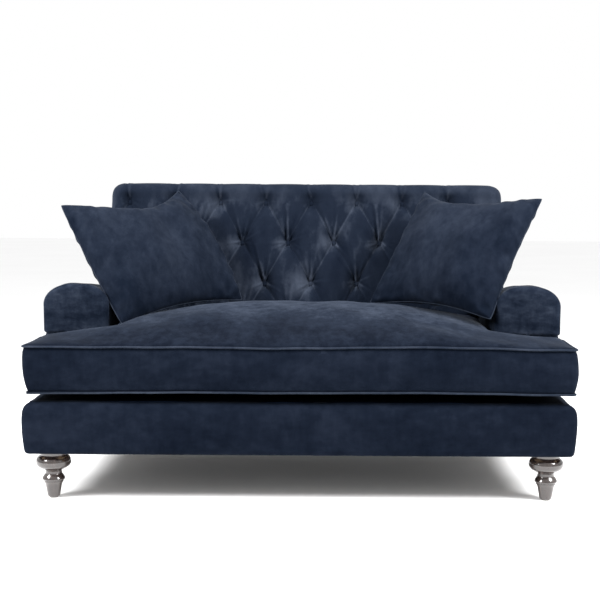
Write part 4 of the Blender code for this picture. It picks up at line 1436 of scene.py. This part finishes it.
    def build_buttons(self) -> list[bpy.types.Object]:
        """The covered buttons, each row joined into one piece.

        Returns:
            One piece for each row.
        """
        outward = Vector((0.0, -1.0, self.lean)).normalized()
        turn = Vector((0, 0, 1)).rotation_difference(outward).to_matrix().to_4x4()
        deselect()
        bpy.ops.mesh.primitive_uv_sphere_add(segments=20, ring_count=10, radius=self.button_radius)
        model = named(bpy.context.object, "button_model")
        shape = points_of(model)
        shape[:, 2] = np.where(shape[:, 2] > 0, shape[:, 2] * 0.55, shape[:, 2] * 0.35)
        set_points(model, shape)
        smooth(model, 80)
        pieces = []
        for row, places in enumerate(self.button_places()):
            copies = []
            for x, z in places:
                copy = bpy.data.objects.new("button", model.data.copy())
                bpy.context.collection.objects.link(copy)
                face = Vector((x, self.sizes.y(self.face_depth(z)), z))
                sunk = face - outward * (self.depth - 0.003)
                copy.data.transform(Matrix.Translation(sunk) @ turn)
                copies.append(copy)
            pieces.append(joined(f"covered_buttons_{row + 1}", copies))
        bpy.data.objects.remove(model)
        return pieces

    def build(self) -> list[bpy.types.Object]:
        """Builds the pad and its buttons.

        Returns:
            The pieces.
        """
        pad = dress(self.build_pad(), self.wardrobe.back_velvet)
        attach(pad, FRAME_BODY)
        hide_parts("tufted_back")
        buttons = self.build_buttons()
        for row, piece in enumerate(buttons):
            dress(piece, self.wardrobe.back_velvet)
            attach(piece, FRAME_BODY)
            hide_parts(f"button_row_{row + 1}")
        return [pad, *buttons]


# ------------------------------------------------------------------ arms


@dataclass
class Arm:
    """A set-back rolled arm: padded roll and inside, faced front, flat outside."""

    sizes: FrameSizes
    wardrobe: Wardrobe
    side: Side
    edge_roll: float = 0.013
    steps: int = 26
    zip_steps: int = 8

    def outline(self) -> Array:
        """The right arm's front view as rows of (x, z), from its foot up the outside and over."""
        sizes = self.sizes
        outer, inner, top = sizes.half_width, sizes.arm_inner, sizes.arm_top
        base = top - SHOULDER_DOWN
        low = sizes.deck_top + SKIN
        step_in = 0.006
        lower = [(outer - step_in, z) for z in np.linspace(low, sizes.roll_bottom - 0.002, 16)]
        lip = [(outer - 0.0015, sizes.roll_bottom + 0.0015), (outer, sizes.roll_bottom + 0.006)]
        upper = [(outer, z) for z in np.linspace(sizes.roll_bottom + 0.012, base, 9)]
        angles = np.linspace(0, math.pi / 2, self.steps)[1:]
        across, down = SHOULDER_ACROSS, SHOULDER_DOWN
        shoulder = [
            (outer - across + across * math.cos(a), base + down * math.sin(a)) for a in angles
        ]
        flat = [(x, top) for x in np.linspace(outer - across, inner + across, 6)[1:]]
        inside = [
            (inner + across - across * math.sin(a), base + down * math.cos(a)) for a in angles
        ]
        inner_side = [(inner, z) for z in np.linspace(base, low, 34)[1:]]
        middle = [((outer + inner) / 2, low)]
        outside = middle + lower + lip + upper + shoulder
        return np.array(outside + flat + inside + inner_side + middle)

    def build_roll(self) -> bpy.types.Object:
        """The padded arm with its facing, as one closed piece.

        Returns:
            The piece.
        """
        sizes = self.sizes
        line = self.outline()
        far = np.array((sizes.half_width, sizes.arm_top))
        near = np.array((sizes.arm_inner, sizes.deck_top))
        centre, half = (far + near) / 2, (far - near) / 2
        front, rear = sizes.arm_front + 0.0005, sizes.frame_rear - 0.001
        rings: list[tuple[float, float]] = []
        for share in np.linspace(1.0, 0.16, 12):
            inset = half[0] * share
            dome = 0.0035 * math.cos(math.pi / 2 * share)
            rings.append((inset, front - dome + 0.003))
        for angle in np.linspace(0, math.pi / 2, 8):
            inset, back = 1 - math.sin(angle), 1 - math.cos(angle)
            rings.append((self.edge_roll * inset, front + self.edge_roll * back))
        for depth in np.linspace(front + self.edge_roll + 0.012, rear, 64):
            rings.append((0.0, depth))
        rings.append((half[0], rear))
        insets = np.array([r[0] for r in rings])
        depths = np.array([r[1] for r in rings])
        uneven = Ripple(90 + self.side.value, 0.24)
        fine = Ripple(120 + self.side.value, 0.08)
        way = self.side.value

        def place(u: Array, v: Array) -> tuple[Array, Array, Array]:
            index, ring = nth(u, len(line)), nth(v, len(rings))
            base = line[index]
            offset = base - centre
            limit = np.maximum(1 - insets[ring][:, None] / half, 0)
            point = centre + offset * limit
            foot = (index <= 1) | (index >= len(line) - 2)
            z = np.where(foot, base[:, 1], point[:, 1])
            shut = (ring == 0) | (ring == len(rings) - 1)
            bottom, head = sizes.deck_top + 0.001, sizes.arm_top - half[0]
            step = (head - bottom) / self.zip_steps
            z = np.where(shut, bottom + step * np.rint((np.minimum(z, head) - bottom) / step), z)
            depth = depths[ring]
            where = np.column_stack((point[:, 0], depth, z))
            soft = 0.0016 * uneven.at(where) + 0.0006 * fine.at(where)
            soft = np.where(shut, 0.0016, soft * ease(depth, front, front + 0.05))
            direction = offset / np.maximum(np.linalg.norm(offset, axis=1), 1e-6)[:, None]
            crest = ease(z, sizes.arm_top - 0.09, sizes.arm_top)
            x = point[:, 0] + direction[:, 0] * (soft - 0.0016)
            z = z + direction[:, 1] * (soft - 0.0016) * crest
            lifted = np.clip((z - sizes.deck_top) / (sizes.arm_top - sizes.deck_top), 0, 1)
            fall = ease(depth, front, rear + 0.15) / ease(rear, front, rear + 0.15)
            z = z - ARM_FALL * lifted**1.5 * fall
            below = (z < sizes.roll_bottom) & (depth < front + self.edge_roll)
            depth = depth + np.where(below, 0.005, 0.0)
            return way * x, sizes.y(depth), z

        obj = grid_piece(f"arm_{self.side.word}_roll", len(line) - 1, len(rings) - 1, place)
        closed(obj)
        # Painted shade: the right arm is painted a little darker all over.
        store_values(obj, -0.020 if self.side is Side.RIGHT else 0.0)
        return smooth(obj, 70)

    def build_outside(self) -> bpy.types.Object:
        """The flat cover below the roll, a little full in its middle.

        Returns:
            The piece.
        """
        low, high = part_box(f"outside_arm_{self.side.word}")
        outer = max(abs(low.x), abs(high.x))
        inner = min(abs(low.x), abs(high.x))
        way = self.side.value
        wave = Ripple(150 + way, 0.3)

        def place(u: Array, v: Array) -> tuple[Array, Array, Array]:
            y = low.y + (high.y - low.y) * u
            z = low.z + (high.z - low.z) * v
            full = fullness([y - low.y, high.y - y, z - low.z, high.z - z], 0.004)
            spot = spots(y, z, 0.0)
            x = outer - 0.006 * (1 - full) - 0.001 + 0.0010 * wave.at(spot) * full
            return way * x, y, z

        obj = grid_piece(f"arm_{self.side.word}_outside", 90, 44, place)
        return thickened(obj, (-way * (outer - inner - 0.007), 0, 0))

    def build(self) -> list[bpy.types.Object]:
        """Builds the arm.

        Returns:
            The pieces.
        """
        word = self.side.word
        roll = dress(self.build_roll(), self.wardrobe.arm_velvet)
        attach(roll, FRAME_BODY)
        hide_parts(f"arm_pad_{word}", f"arm_facing_{word}")
        outside = dress(self.build_outside(), self.wardrobe.velvet)
        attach(outside, FRAME_BODY)
        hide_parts(f"outside_arm_{word}")
        return [roll, outside]


# ------------------------------------------------------------------ base


@dataclass
class FrontBorder:
    """The padded border of the base, full in its middle and rolled over at the top."""

    sizes: FrameSizes
    wardrobe: Wardrobe
    corner: float = 0.026
    drop: float = 0.0032

    def section(self) -> Array:
        """The border's upright section as rows of (inset, z), from its inner foot outwards."""
        low, high = self.sizes.base_bottom - self.drop, self.sizes.deck_top
        keys = np.array(
            [
                (0.032, low), (0.014, low), (0.0110, low + 0.0012), (0.0090, low + 0.006),
                (0.0062, low + 0.020), (0.0030, low + 0.045), (0.0008, low + 0.075),
                (0.0, low + 0.101), (0.0012, low + 0.122), (0.0040, low + 0.134),
                (0.0090, low + 0.1445), (0.0190, high - 0.0048), (0.0320, high - 0.0010),
                (0.0520, high - 0.0016), (0.0500, high - 0.0110), (0.0340, high - 0.0130),
                (0.0320, low + 0.0100), (0.0320, low),
            ]
        )
        return softened(evenly(keys, 64)[0], 2)

    def plan(self) -> tuple[Array, Array]:
        """The border's outer line seen from above, and the outward direction at each point."""
        sizes = self.sizes
        half, front = sizes.half_width + 0.0105, 0.0025
        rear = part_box("front_border")[1].y - sizes.front
        radius = self.corner
        points, normals = [], []

        def run(places: Sequence[tuple[float, float]], normal: tuple[float, float]) -> None:
            """Adds points that all look the same way."""
            points.extend(places)
            normals.extend([normal] * len(places))

        def turn(middle: float, start: float, end: float) -> None:
            """Adds a rounded corner from one angle to another."""
            for angle in np.linspace(start, end, 13):
                normal = (math.cos(angle), math.sin(angle))
                run([(middle + radius * normal[0], front + radius + radius * normal[1])], normal)

        depths = np.linspace(rear, front + radius, 26)[:-1]
        run([(-half, depth) for depth in depths], (-1.0, 0.0))
        turn(-half + radius, math.pi, 1.5 * math.pi)
        across = np.linspace(-half + radius, half - radius, 150)[1:-1]
        run([(x, front) for x in across], (0.0, -1.0))
        turn(half - radius, 1.5 * math.pi, 2 * math.pi)
        run([(half, depth) for depth in depths[::-1]], (1.0, 0.0))
        return np.array(points), np.array(normals)

    def build(self) -> list[bpy.types.Object]:
        """Builds the border.

        Returns:
            The pieces.
        """
        sizes = self.sizes
        section = self.section()
        points, normals = self.plan()
        wave = Ripple(200, 0.35)
        fine = Ripple(201, 0.06)

        def place(u: Array, v: Array) -> tuple[Array, Array, Array]:
            i, j = nth(u, len(points)), nth(v, len(section))
            inset, z = section[j, 0], section[j, 1]
            spot = np.column_stack((points[i], z))
            high = ease(z, sizes.base_bottom + 0.01, sizes.deck_top)
            soft = 0.0014 * wave.at(spot) + 0.0006 * fine.at(spot) * high
            soft = soft * ease(z, sizes.base_bottom + 0.002, sizes.base_bottom + 0.03)
            inset = inset + 0.0008 - soft
            corner_in = np.minimum(inset, self.corner + 0.016)
            xy = points[i] - normals[i] * corner_in[:, None]
            return xy[:, 0], sizes.y(xy[:, 1]), z + 0.0008 * wave.at(spot) * high - 0.0010 * high

        obj = grid_piece("base_border", len(points) - 1, len(section) - 1, place)
        edit(
            obj,
            lambda: bpy.ops.mesh.remove_doubles(threshold=MERGE),
            lambda: bpy.ops.mesh.fill_holes(sides=0),
            lambda: bpy.ops.mesh.select_all(action="SELECT"),
            lambda: bpy.ops.mesh.normals_make_consistent(inside=False),
        )
        smooth(obj, 60)
        dress(obj, self.wardrobe.border_shade_velvet)
        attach(obj, FRAME_BODY)
        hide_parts("front_border")
        return [obj]


@dataclass
class DustCover:
    """Thin black cloth stapled under the base, cut away round the legs."""

    sizes: FrameSizes
    wardrobe: Wardrobe
    sag: float = 0.004
    thickness: float = 0.0008

    def build(self) -> list[bpy.types.Object]:
        """Builds the cloth.

        Returns:
            The pieces.
        """
        low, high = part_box("dust_cover")
        leg_low, leg_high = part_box("leg_front_right")
        rear_low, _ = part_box("leg_rear_right")
        notch_x = leg_low.x
        notch_front, notch_rear = leg_high.y, rear_low.y - 0.02
        xs = np.sort(np.concatenate((np.linspace(low.x, high.x, 41), [-notch_x, notch_x])))
        ys = np.sort(np.concatenate((np.linspace(low.y, high.y, 25), [notch_front, notch_rear])))

        def place(u: Array, v: Array) -> tuple[Array, Array, Array]:
            x, y = xs[nth(u, len(xs))], ys[nth(v, len(ys))]
            p = 2 * (x - low.x) / (high.x - low.x) - 1
            q = 2 * (y - low.y) / (high.y - low.y) - 1
            drop = self.sag * (1 - p**4) * (1 - q**4)
            return x, y, high.z - self.thickness - drop

        obj = grid_piece("dust_cloth_sheet", len(xs) - 1, len(ys) - 1, place)
        drop_faces(obj, lambda c: abs(c.x) > notch_x and not notch_front < c.y < notch_rear)
        modifier(obj, "SOLIDIFY", thickness=self.thickness, offset=1.0)
        smooth(obj, 40)
        dress(obj, self.wardrobe.cambric)
        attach(obj, FRAME_BODY)
        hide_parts("dust_cover")
        return [obj]


# ------------------------------------------------------------------ outside back


@dataclass
class OutsideBack:
    """The plain rear cover and the covers at the ends of the back."""

    sizes: FrameSizes
    wardrobe: Wardrobe
    corner: float = 0.055
    lean: float = 0.305

    def half_at(self, z: Array, top: float, outer: float) -> Array:
        """Half the cover's width at a height."""
        sizes = self.sizes
        arm_top = sizes.arm_top - ARM_FALL
        base = arm_top - SHOULDER_DOWN
        lift = np.clip((z - base) / SHOULDER_DOWN, 0, 1)
        shoulder = outer - SHOULDER_ACROSS * (1 - np.sqrt(np.maximum(1 - lift**2, 0)))
        up = np.clip((z - (top - self.corner)) / self.corner, 0, 1)
        head = sizes.back_half - self.corner * (1 - np.sqrt(np.maximum(1 - up**2, 0)))
        return np.where(z < arm_top, shoulder, head)

    def build_cover(self) -> bpy.types.Object:
        """The rear cover.

        Returns:
            The piece.
        """
        low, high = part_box("outside_back")
        outer, arm_top = high.x - 0.001, self.sizes.arm_top - ARM_FALL
        zs = np.unique(
            np.concatenate(
                (
                    low.z + np.array((0, 0.002, 0.005, 0.010, 0.02)),
                    np.linspace(low.z + 0.03, arm_top - SHOULDER_DOWN, 34),
                    arm_top - SHOULDER_DOWN * (1 - np.sin(np.linspace(0, math.pi / 2, 16))),
                    [arm_top + 0.0015],
                    np.linspace(arm_top + 0.01, high.z - self.corner, 22),
                    high.z - self.corner * (1 - np.sin(np.linspace(0, math.pi / 2, 16))),
                )
            )
        )
        half = self.half_at(zs, high.z, outer)
        wave = Ripple(260, 0.4)

        def place(u: Array, v: Array) -> tuple[Array, Array, Array]:
            row = nth(v, len(zs))
            t = np.sin(math.pi / 2 * (2 * u - 1)) * 0.35 + (2 * u - 1) * 0.65
            x, z = t * half[row], zs[row]
            full = fullness([half[row] - abs(x), z - low.z, high.z - z], 0.006)
            spot = spots(x, z, 0.0)
            y = high.y - 0.0105 + 0.0085 * full + 0.0014 * wave.at(spot) * full
            return x, y, z

        obj = grid_piece("outside_back_cover", 120, len(zs) - 1, place)
        store_values(obj, COVER_CALM, CALM)
        return thickened(obj, (0, -0.0120, 0))

    def build_end(self, side: Side) -> bpy.types.Object:
        """The cover at one end of the back.

        Args:
            side: Which end.

        Returns:
            The piece.
        """
        low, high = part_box(f"back_side_panel_{side.word}")
        outer = max(abs(low.x), abs(high.x))
        way = side.value

        def place(u: Array, v: Array) -> tuple[Array, Array, Array]:
            foot, head = self.sizes.arm_top - ARM_FALL - 0.010, self.sizes.back_top - 0.024
            z = foot + (head - foot) * v
            front = low.y - 0.004 + self.lean * (z - low.z)
            y = front + (high.y - front) * u
            full = fullness([y - front, high.y - y, z - foot, head - z], 0.005)
            rounding = self.sizes.back_half - self.half_at(z, self.sizes.back_top, 0.0)
            rounding = np.where(z > self.sizes.arm_top, rounding, 0.0)
            return way * (outer - 0.007 + 0.006 * full - rounding), y, z

        obj = grid_piece(f"back_end_{side.word}", 30, 36, place)
        store_values(obj, COVER_CALM, CALM)
        return thickened(obj, (-way * 0.006, 0, 0))

    def build(self) -> list[bpy.types.Object]:
        """Builds the covers.

        Returns:
            The pieces.
        """
        cover = dress(self.build_cover(), self.wardrobe.arm_velvet)
        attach(cover, FRAME_BODY)
        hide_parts("outside_back")
        pieces = [cover]
        for side in Side:
            end = dress(self.build_end(side), self.wardrobe.arm_velvet)
            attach(end, FRAME_BODY)
            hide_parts(f"back_side_panel_{side.word}")
            pieces.append(end)
        return pieces


# ------------------------------------------------------------------ legs


@dataclass
class TurnedLeg:
    """A leg spun on its axis: a bun, a neck, a collar and a tapered foot."""

    node: str
    wardrobe: Wardrobe
    turned: bool
    sides: int = 72

    def keys(self) -> list[tuple[float, float]]:
        """(radius, distance below the top) down the leg, without its ends."""
        if not self.turned:
            return [
                (0.0300, 0.0), (0.0300, 0.004), (0.0288, 0.0075), (0.0265, 0.030), (0.0180, 0.131),
            ]
        bun = [
            (0.0322 + 0.0193 * math.cos(a), 0.0335 - 0.0195 * math.sin(a))
            for a in np.linspace(math.radians(58), math.radians(-62), 17)
        ]
        return (
            [(0.0405, 0.0), (0.0405, 0.0085), (0.0395, 0.0125)]
            + bun
            + [
                (0.0335, 0.0560), (0.0290, 0.0585), (0.0262, 0.0612), (0.0250, 0.0645),
                (0.0248, 0.0680), (0.0256, 0.0705), (0.0275, 0.0730), (0.0300, 0.0765),
                (0.0322, 0.0805), (0.0337, 0.0840), (0.0336, 0.0862), (0.0316, 0.0880),
                (0.0292, 0.0890), (0.0288, 0.0900), (0.0294, 0.0912), (0.0290, 0.0932),
                (0.0268, 0.0970), (0.0246, 0.1020), (0.0232, 0.1080), (0.0214, 0.1180),
                (0.0196, 0.1280), (0.0186, 0.1335), (0.0172, 0.1362),
            ]
        )

    def build(self) -> list[bpy.types.Object]:
        """Spins the leg.

        Returns:
            The piece.
        """
        low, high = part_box(self.node)
        centre = (low + high) / 2
        line, _ = evenly(np.array(self.keys()), 90 if self.turned else 24)
        line[-1, 1] = high.z - low.z
        profile = [(0.0, 0.0), *map(tuple, line), (0.0, line[-1, 1])]
        deselect()
        bpy.ops.mesh.primitive_circle_add(vertices=len(profile), radius=1, fill_type="NOTHING")
        obj = named(bpy.context.object, f"{self.node}_turning")
        set_points(obj, np.array([(centre.x + r, centre.y, high.z - d) for r, d in profile]))
        only(obj)
        bpy.ops.object.mode_set(mode="EDIT")
        bpy.ops.mesh.select_all(action="DESELECT")
        bpy.ops.object.mode_set(mode="OBJECT")
        last = len(profile) - 1
        for edge in obj.data.edges:
            edge.select = set(edge.vertices) == {0, last}
        bpy.ops.object.mode_set(mode="EDIT")
        bpy.ops.mesh.select_mode(type="EDGE")
        bpy.ops.mesh.delete(type="EDGE")
        bpy.ops.mesh.select_all(action="SELECT")
        bpy.ops.mesh.spin(
            steps=self.sides, angle=math.tau, center=(centre.x, centre.y, 0), axis=(0, 0, 1)
        )
        bpy.ops.mesh.select_all(action="SELECT")
        bpy.ops.mesh.remove_doubles(threshold=MERGE)
        bpy.ops.mesh.normals_make_consistent(inside=False)
        bpy.ops.mesh.select_mode(type="VERT")
        bpy.ops.object.mode_set(mode="OBJECT")
        smooth(obj, 60)
        dress(obj, self.wardrobe.lacquer)
        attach(obj, FRAME_BODY)
        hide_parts(self.node)
        return [obj]


# ------------------------------------------------------------------ studio


@dataclass
class Studio:
    """The camera, the pale floor and the soft lights."""

    eye: tuple[float, float, float] = (0.0932, -3.7598, 0.8499)
    pitch: float = math.radians(4.423)
    yaw: float = math.radians(-0.105)
    tilt: float = math.radians(0.373)
    lens: float = 69.15
    sensor: float = 36.0
    shift: float = -0.0577
    aim: tuple[float, float, float] = (0.0, 0.0, 0.45)  # what the lamps look at
    lamps: tuple[tuple[str, tuple[float, float, float], float, float], ...] = (
        ("right_lamp", (2.5, -1.5, 2.3), 1.1, 200.0),  # name, place, size and power
        ("left_lamp", (-2.5, -1.5, 2.3), 1.1, 200.0),
        ("top_lamp", (0.0, 0.2, 3.0), 2.0, 70.0),
    )

    def camera(self) -> None:
        """Makes the camera and sets it as the scene's own."""
        data = bpy.data.cameras.new("camera")
        data.lens = self.lens
        data.sensor_width = self.sensor
        data.shift_x = self.shift
        camera = bpy.data.objects.new("camera", data)
        bpy.context.collection.objects.link(camera)
        ahead = Vector(
            (
                -math.sin(self.yaw) * math.cos(self.pitch),
                math.cos(self.yaw) * math.cos(self.pitch),
                -math.sin(self.pitch),
            )
        )
        right = ahead.cross(Vector((0, 0, 1))).normalized()
        up = right.cross(ahead)
        right, up = (
            right * math.cos(self.tilt) + up * math.sin(self.tilt),
            up * math.cos(self.tilt) - right * math.sin(self.tilt),
        )
        matrix = Matrix((right, up, -ahead)).transposed().to_4x4()
        camera.matrix_world = Matrix.Translation(self.eye) @ matrix
        bpy.context.scene.camera = camera

    def lamp(self, name: str, place: Sequence[float], size: float, power: float) -> None:
        """A soft square lamp that looks at the middle of the sofa."""
        data = bpy.data.lights.new(name, "AREA")
        data.shape = "SQUARE"
        data.size = size
        data.energy = power
        lamp = bpy.data.objects.new(name, data)
        bpy.context.collection.objects.link(lamp)
        lamp.location = place
        ahead = Vector(self.aim) - Vector(place)
        lamp.rotation_euler = ahead.to_track_quat("-Z", "Y").to_euler()

    def floor(self) -> None:
        """A wide pale floor that the backdrop's white runs into."""
        deselect()
        bpy.ops.mesh.primitive_plane_add(size=60.0)
        floor = named(bpy.context.object, "studio_floor")
        sheet = NodeSheet("studio_floor_finish")
        mottle = sheet.noise(0.7, 2.0)
        tones = [(0.3, (0.93, 0.93, 0.93)), (0.7, (0.95, 0.95, 0.95))]
        sheet.paint(mottle, tones)
        sheet.set(Roughness=0.9, Specular_IOR_Level=0.1)
        floor.data.materials.append(sheet.material)

    def build(self) -> None:
        """Sets up the whole studio."""
        self.camera()
        self.floor()
        world = bpy.data.worlds.new("studio")
        bpy.context.scene.world = world
        world.use_nodes = True
        background = world.node_tree.nodes["Background"]
        background.inputs["Color"].default_value = (1.0, 1.0, 1.0, 1.0)
        background.inputs["Strength"].default_value = 1.0
        for name, place, size, power in self.lamps:
            self.lamp(name, place, size, power)
        bpy.context.scene.view_settings.view_transform = "Standard"


def main() -> None:
    """Builds the sofa's looks in order and reports each piece."""
    logging.basicConfig(level=logging.INFO, format="%(name)s: %(message)s")
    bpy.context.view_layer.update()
    Studio().build()
    sizes = FrameSizes.read()
    wardrobe = Wardrobe()
    wardrobe.dress_frame()
    parts = [
        SeatCushion(sizes, wardrobe),
        SeatDeck(sizes, wardrobe),
        TuftedBack(sizes, wardrobe),
        OutsideBack(sizes, wardrobe),
        FrontBorder(sizes, wardrobe),
        DustCover(sizes, wardrobe),
        *(Arm(sizes, wardrobe, side) for side in Side),
        *(Pillow(sizes, wardrobe, side) for side in Side),
        *(TurnedLeg(f"leg_front_{side.word}", wardrobe, True) for side in Side),
        *(TurnedLeg(f"leg_rear_{side.word}", wardrobe, False) for side in Side),
    ]
    for part in parts:
        for piece in part.build():
            LOG.info("%s: %d faces", piece.name, len(piece.data.polygons))


if __name__ == "__main__":
    main()
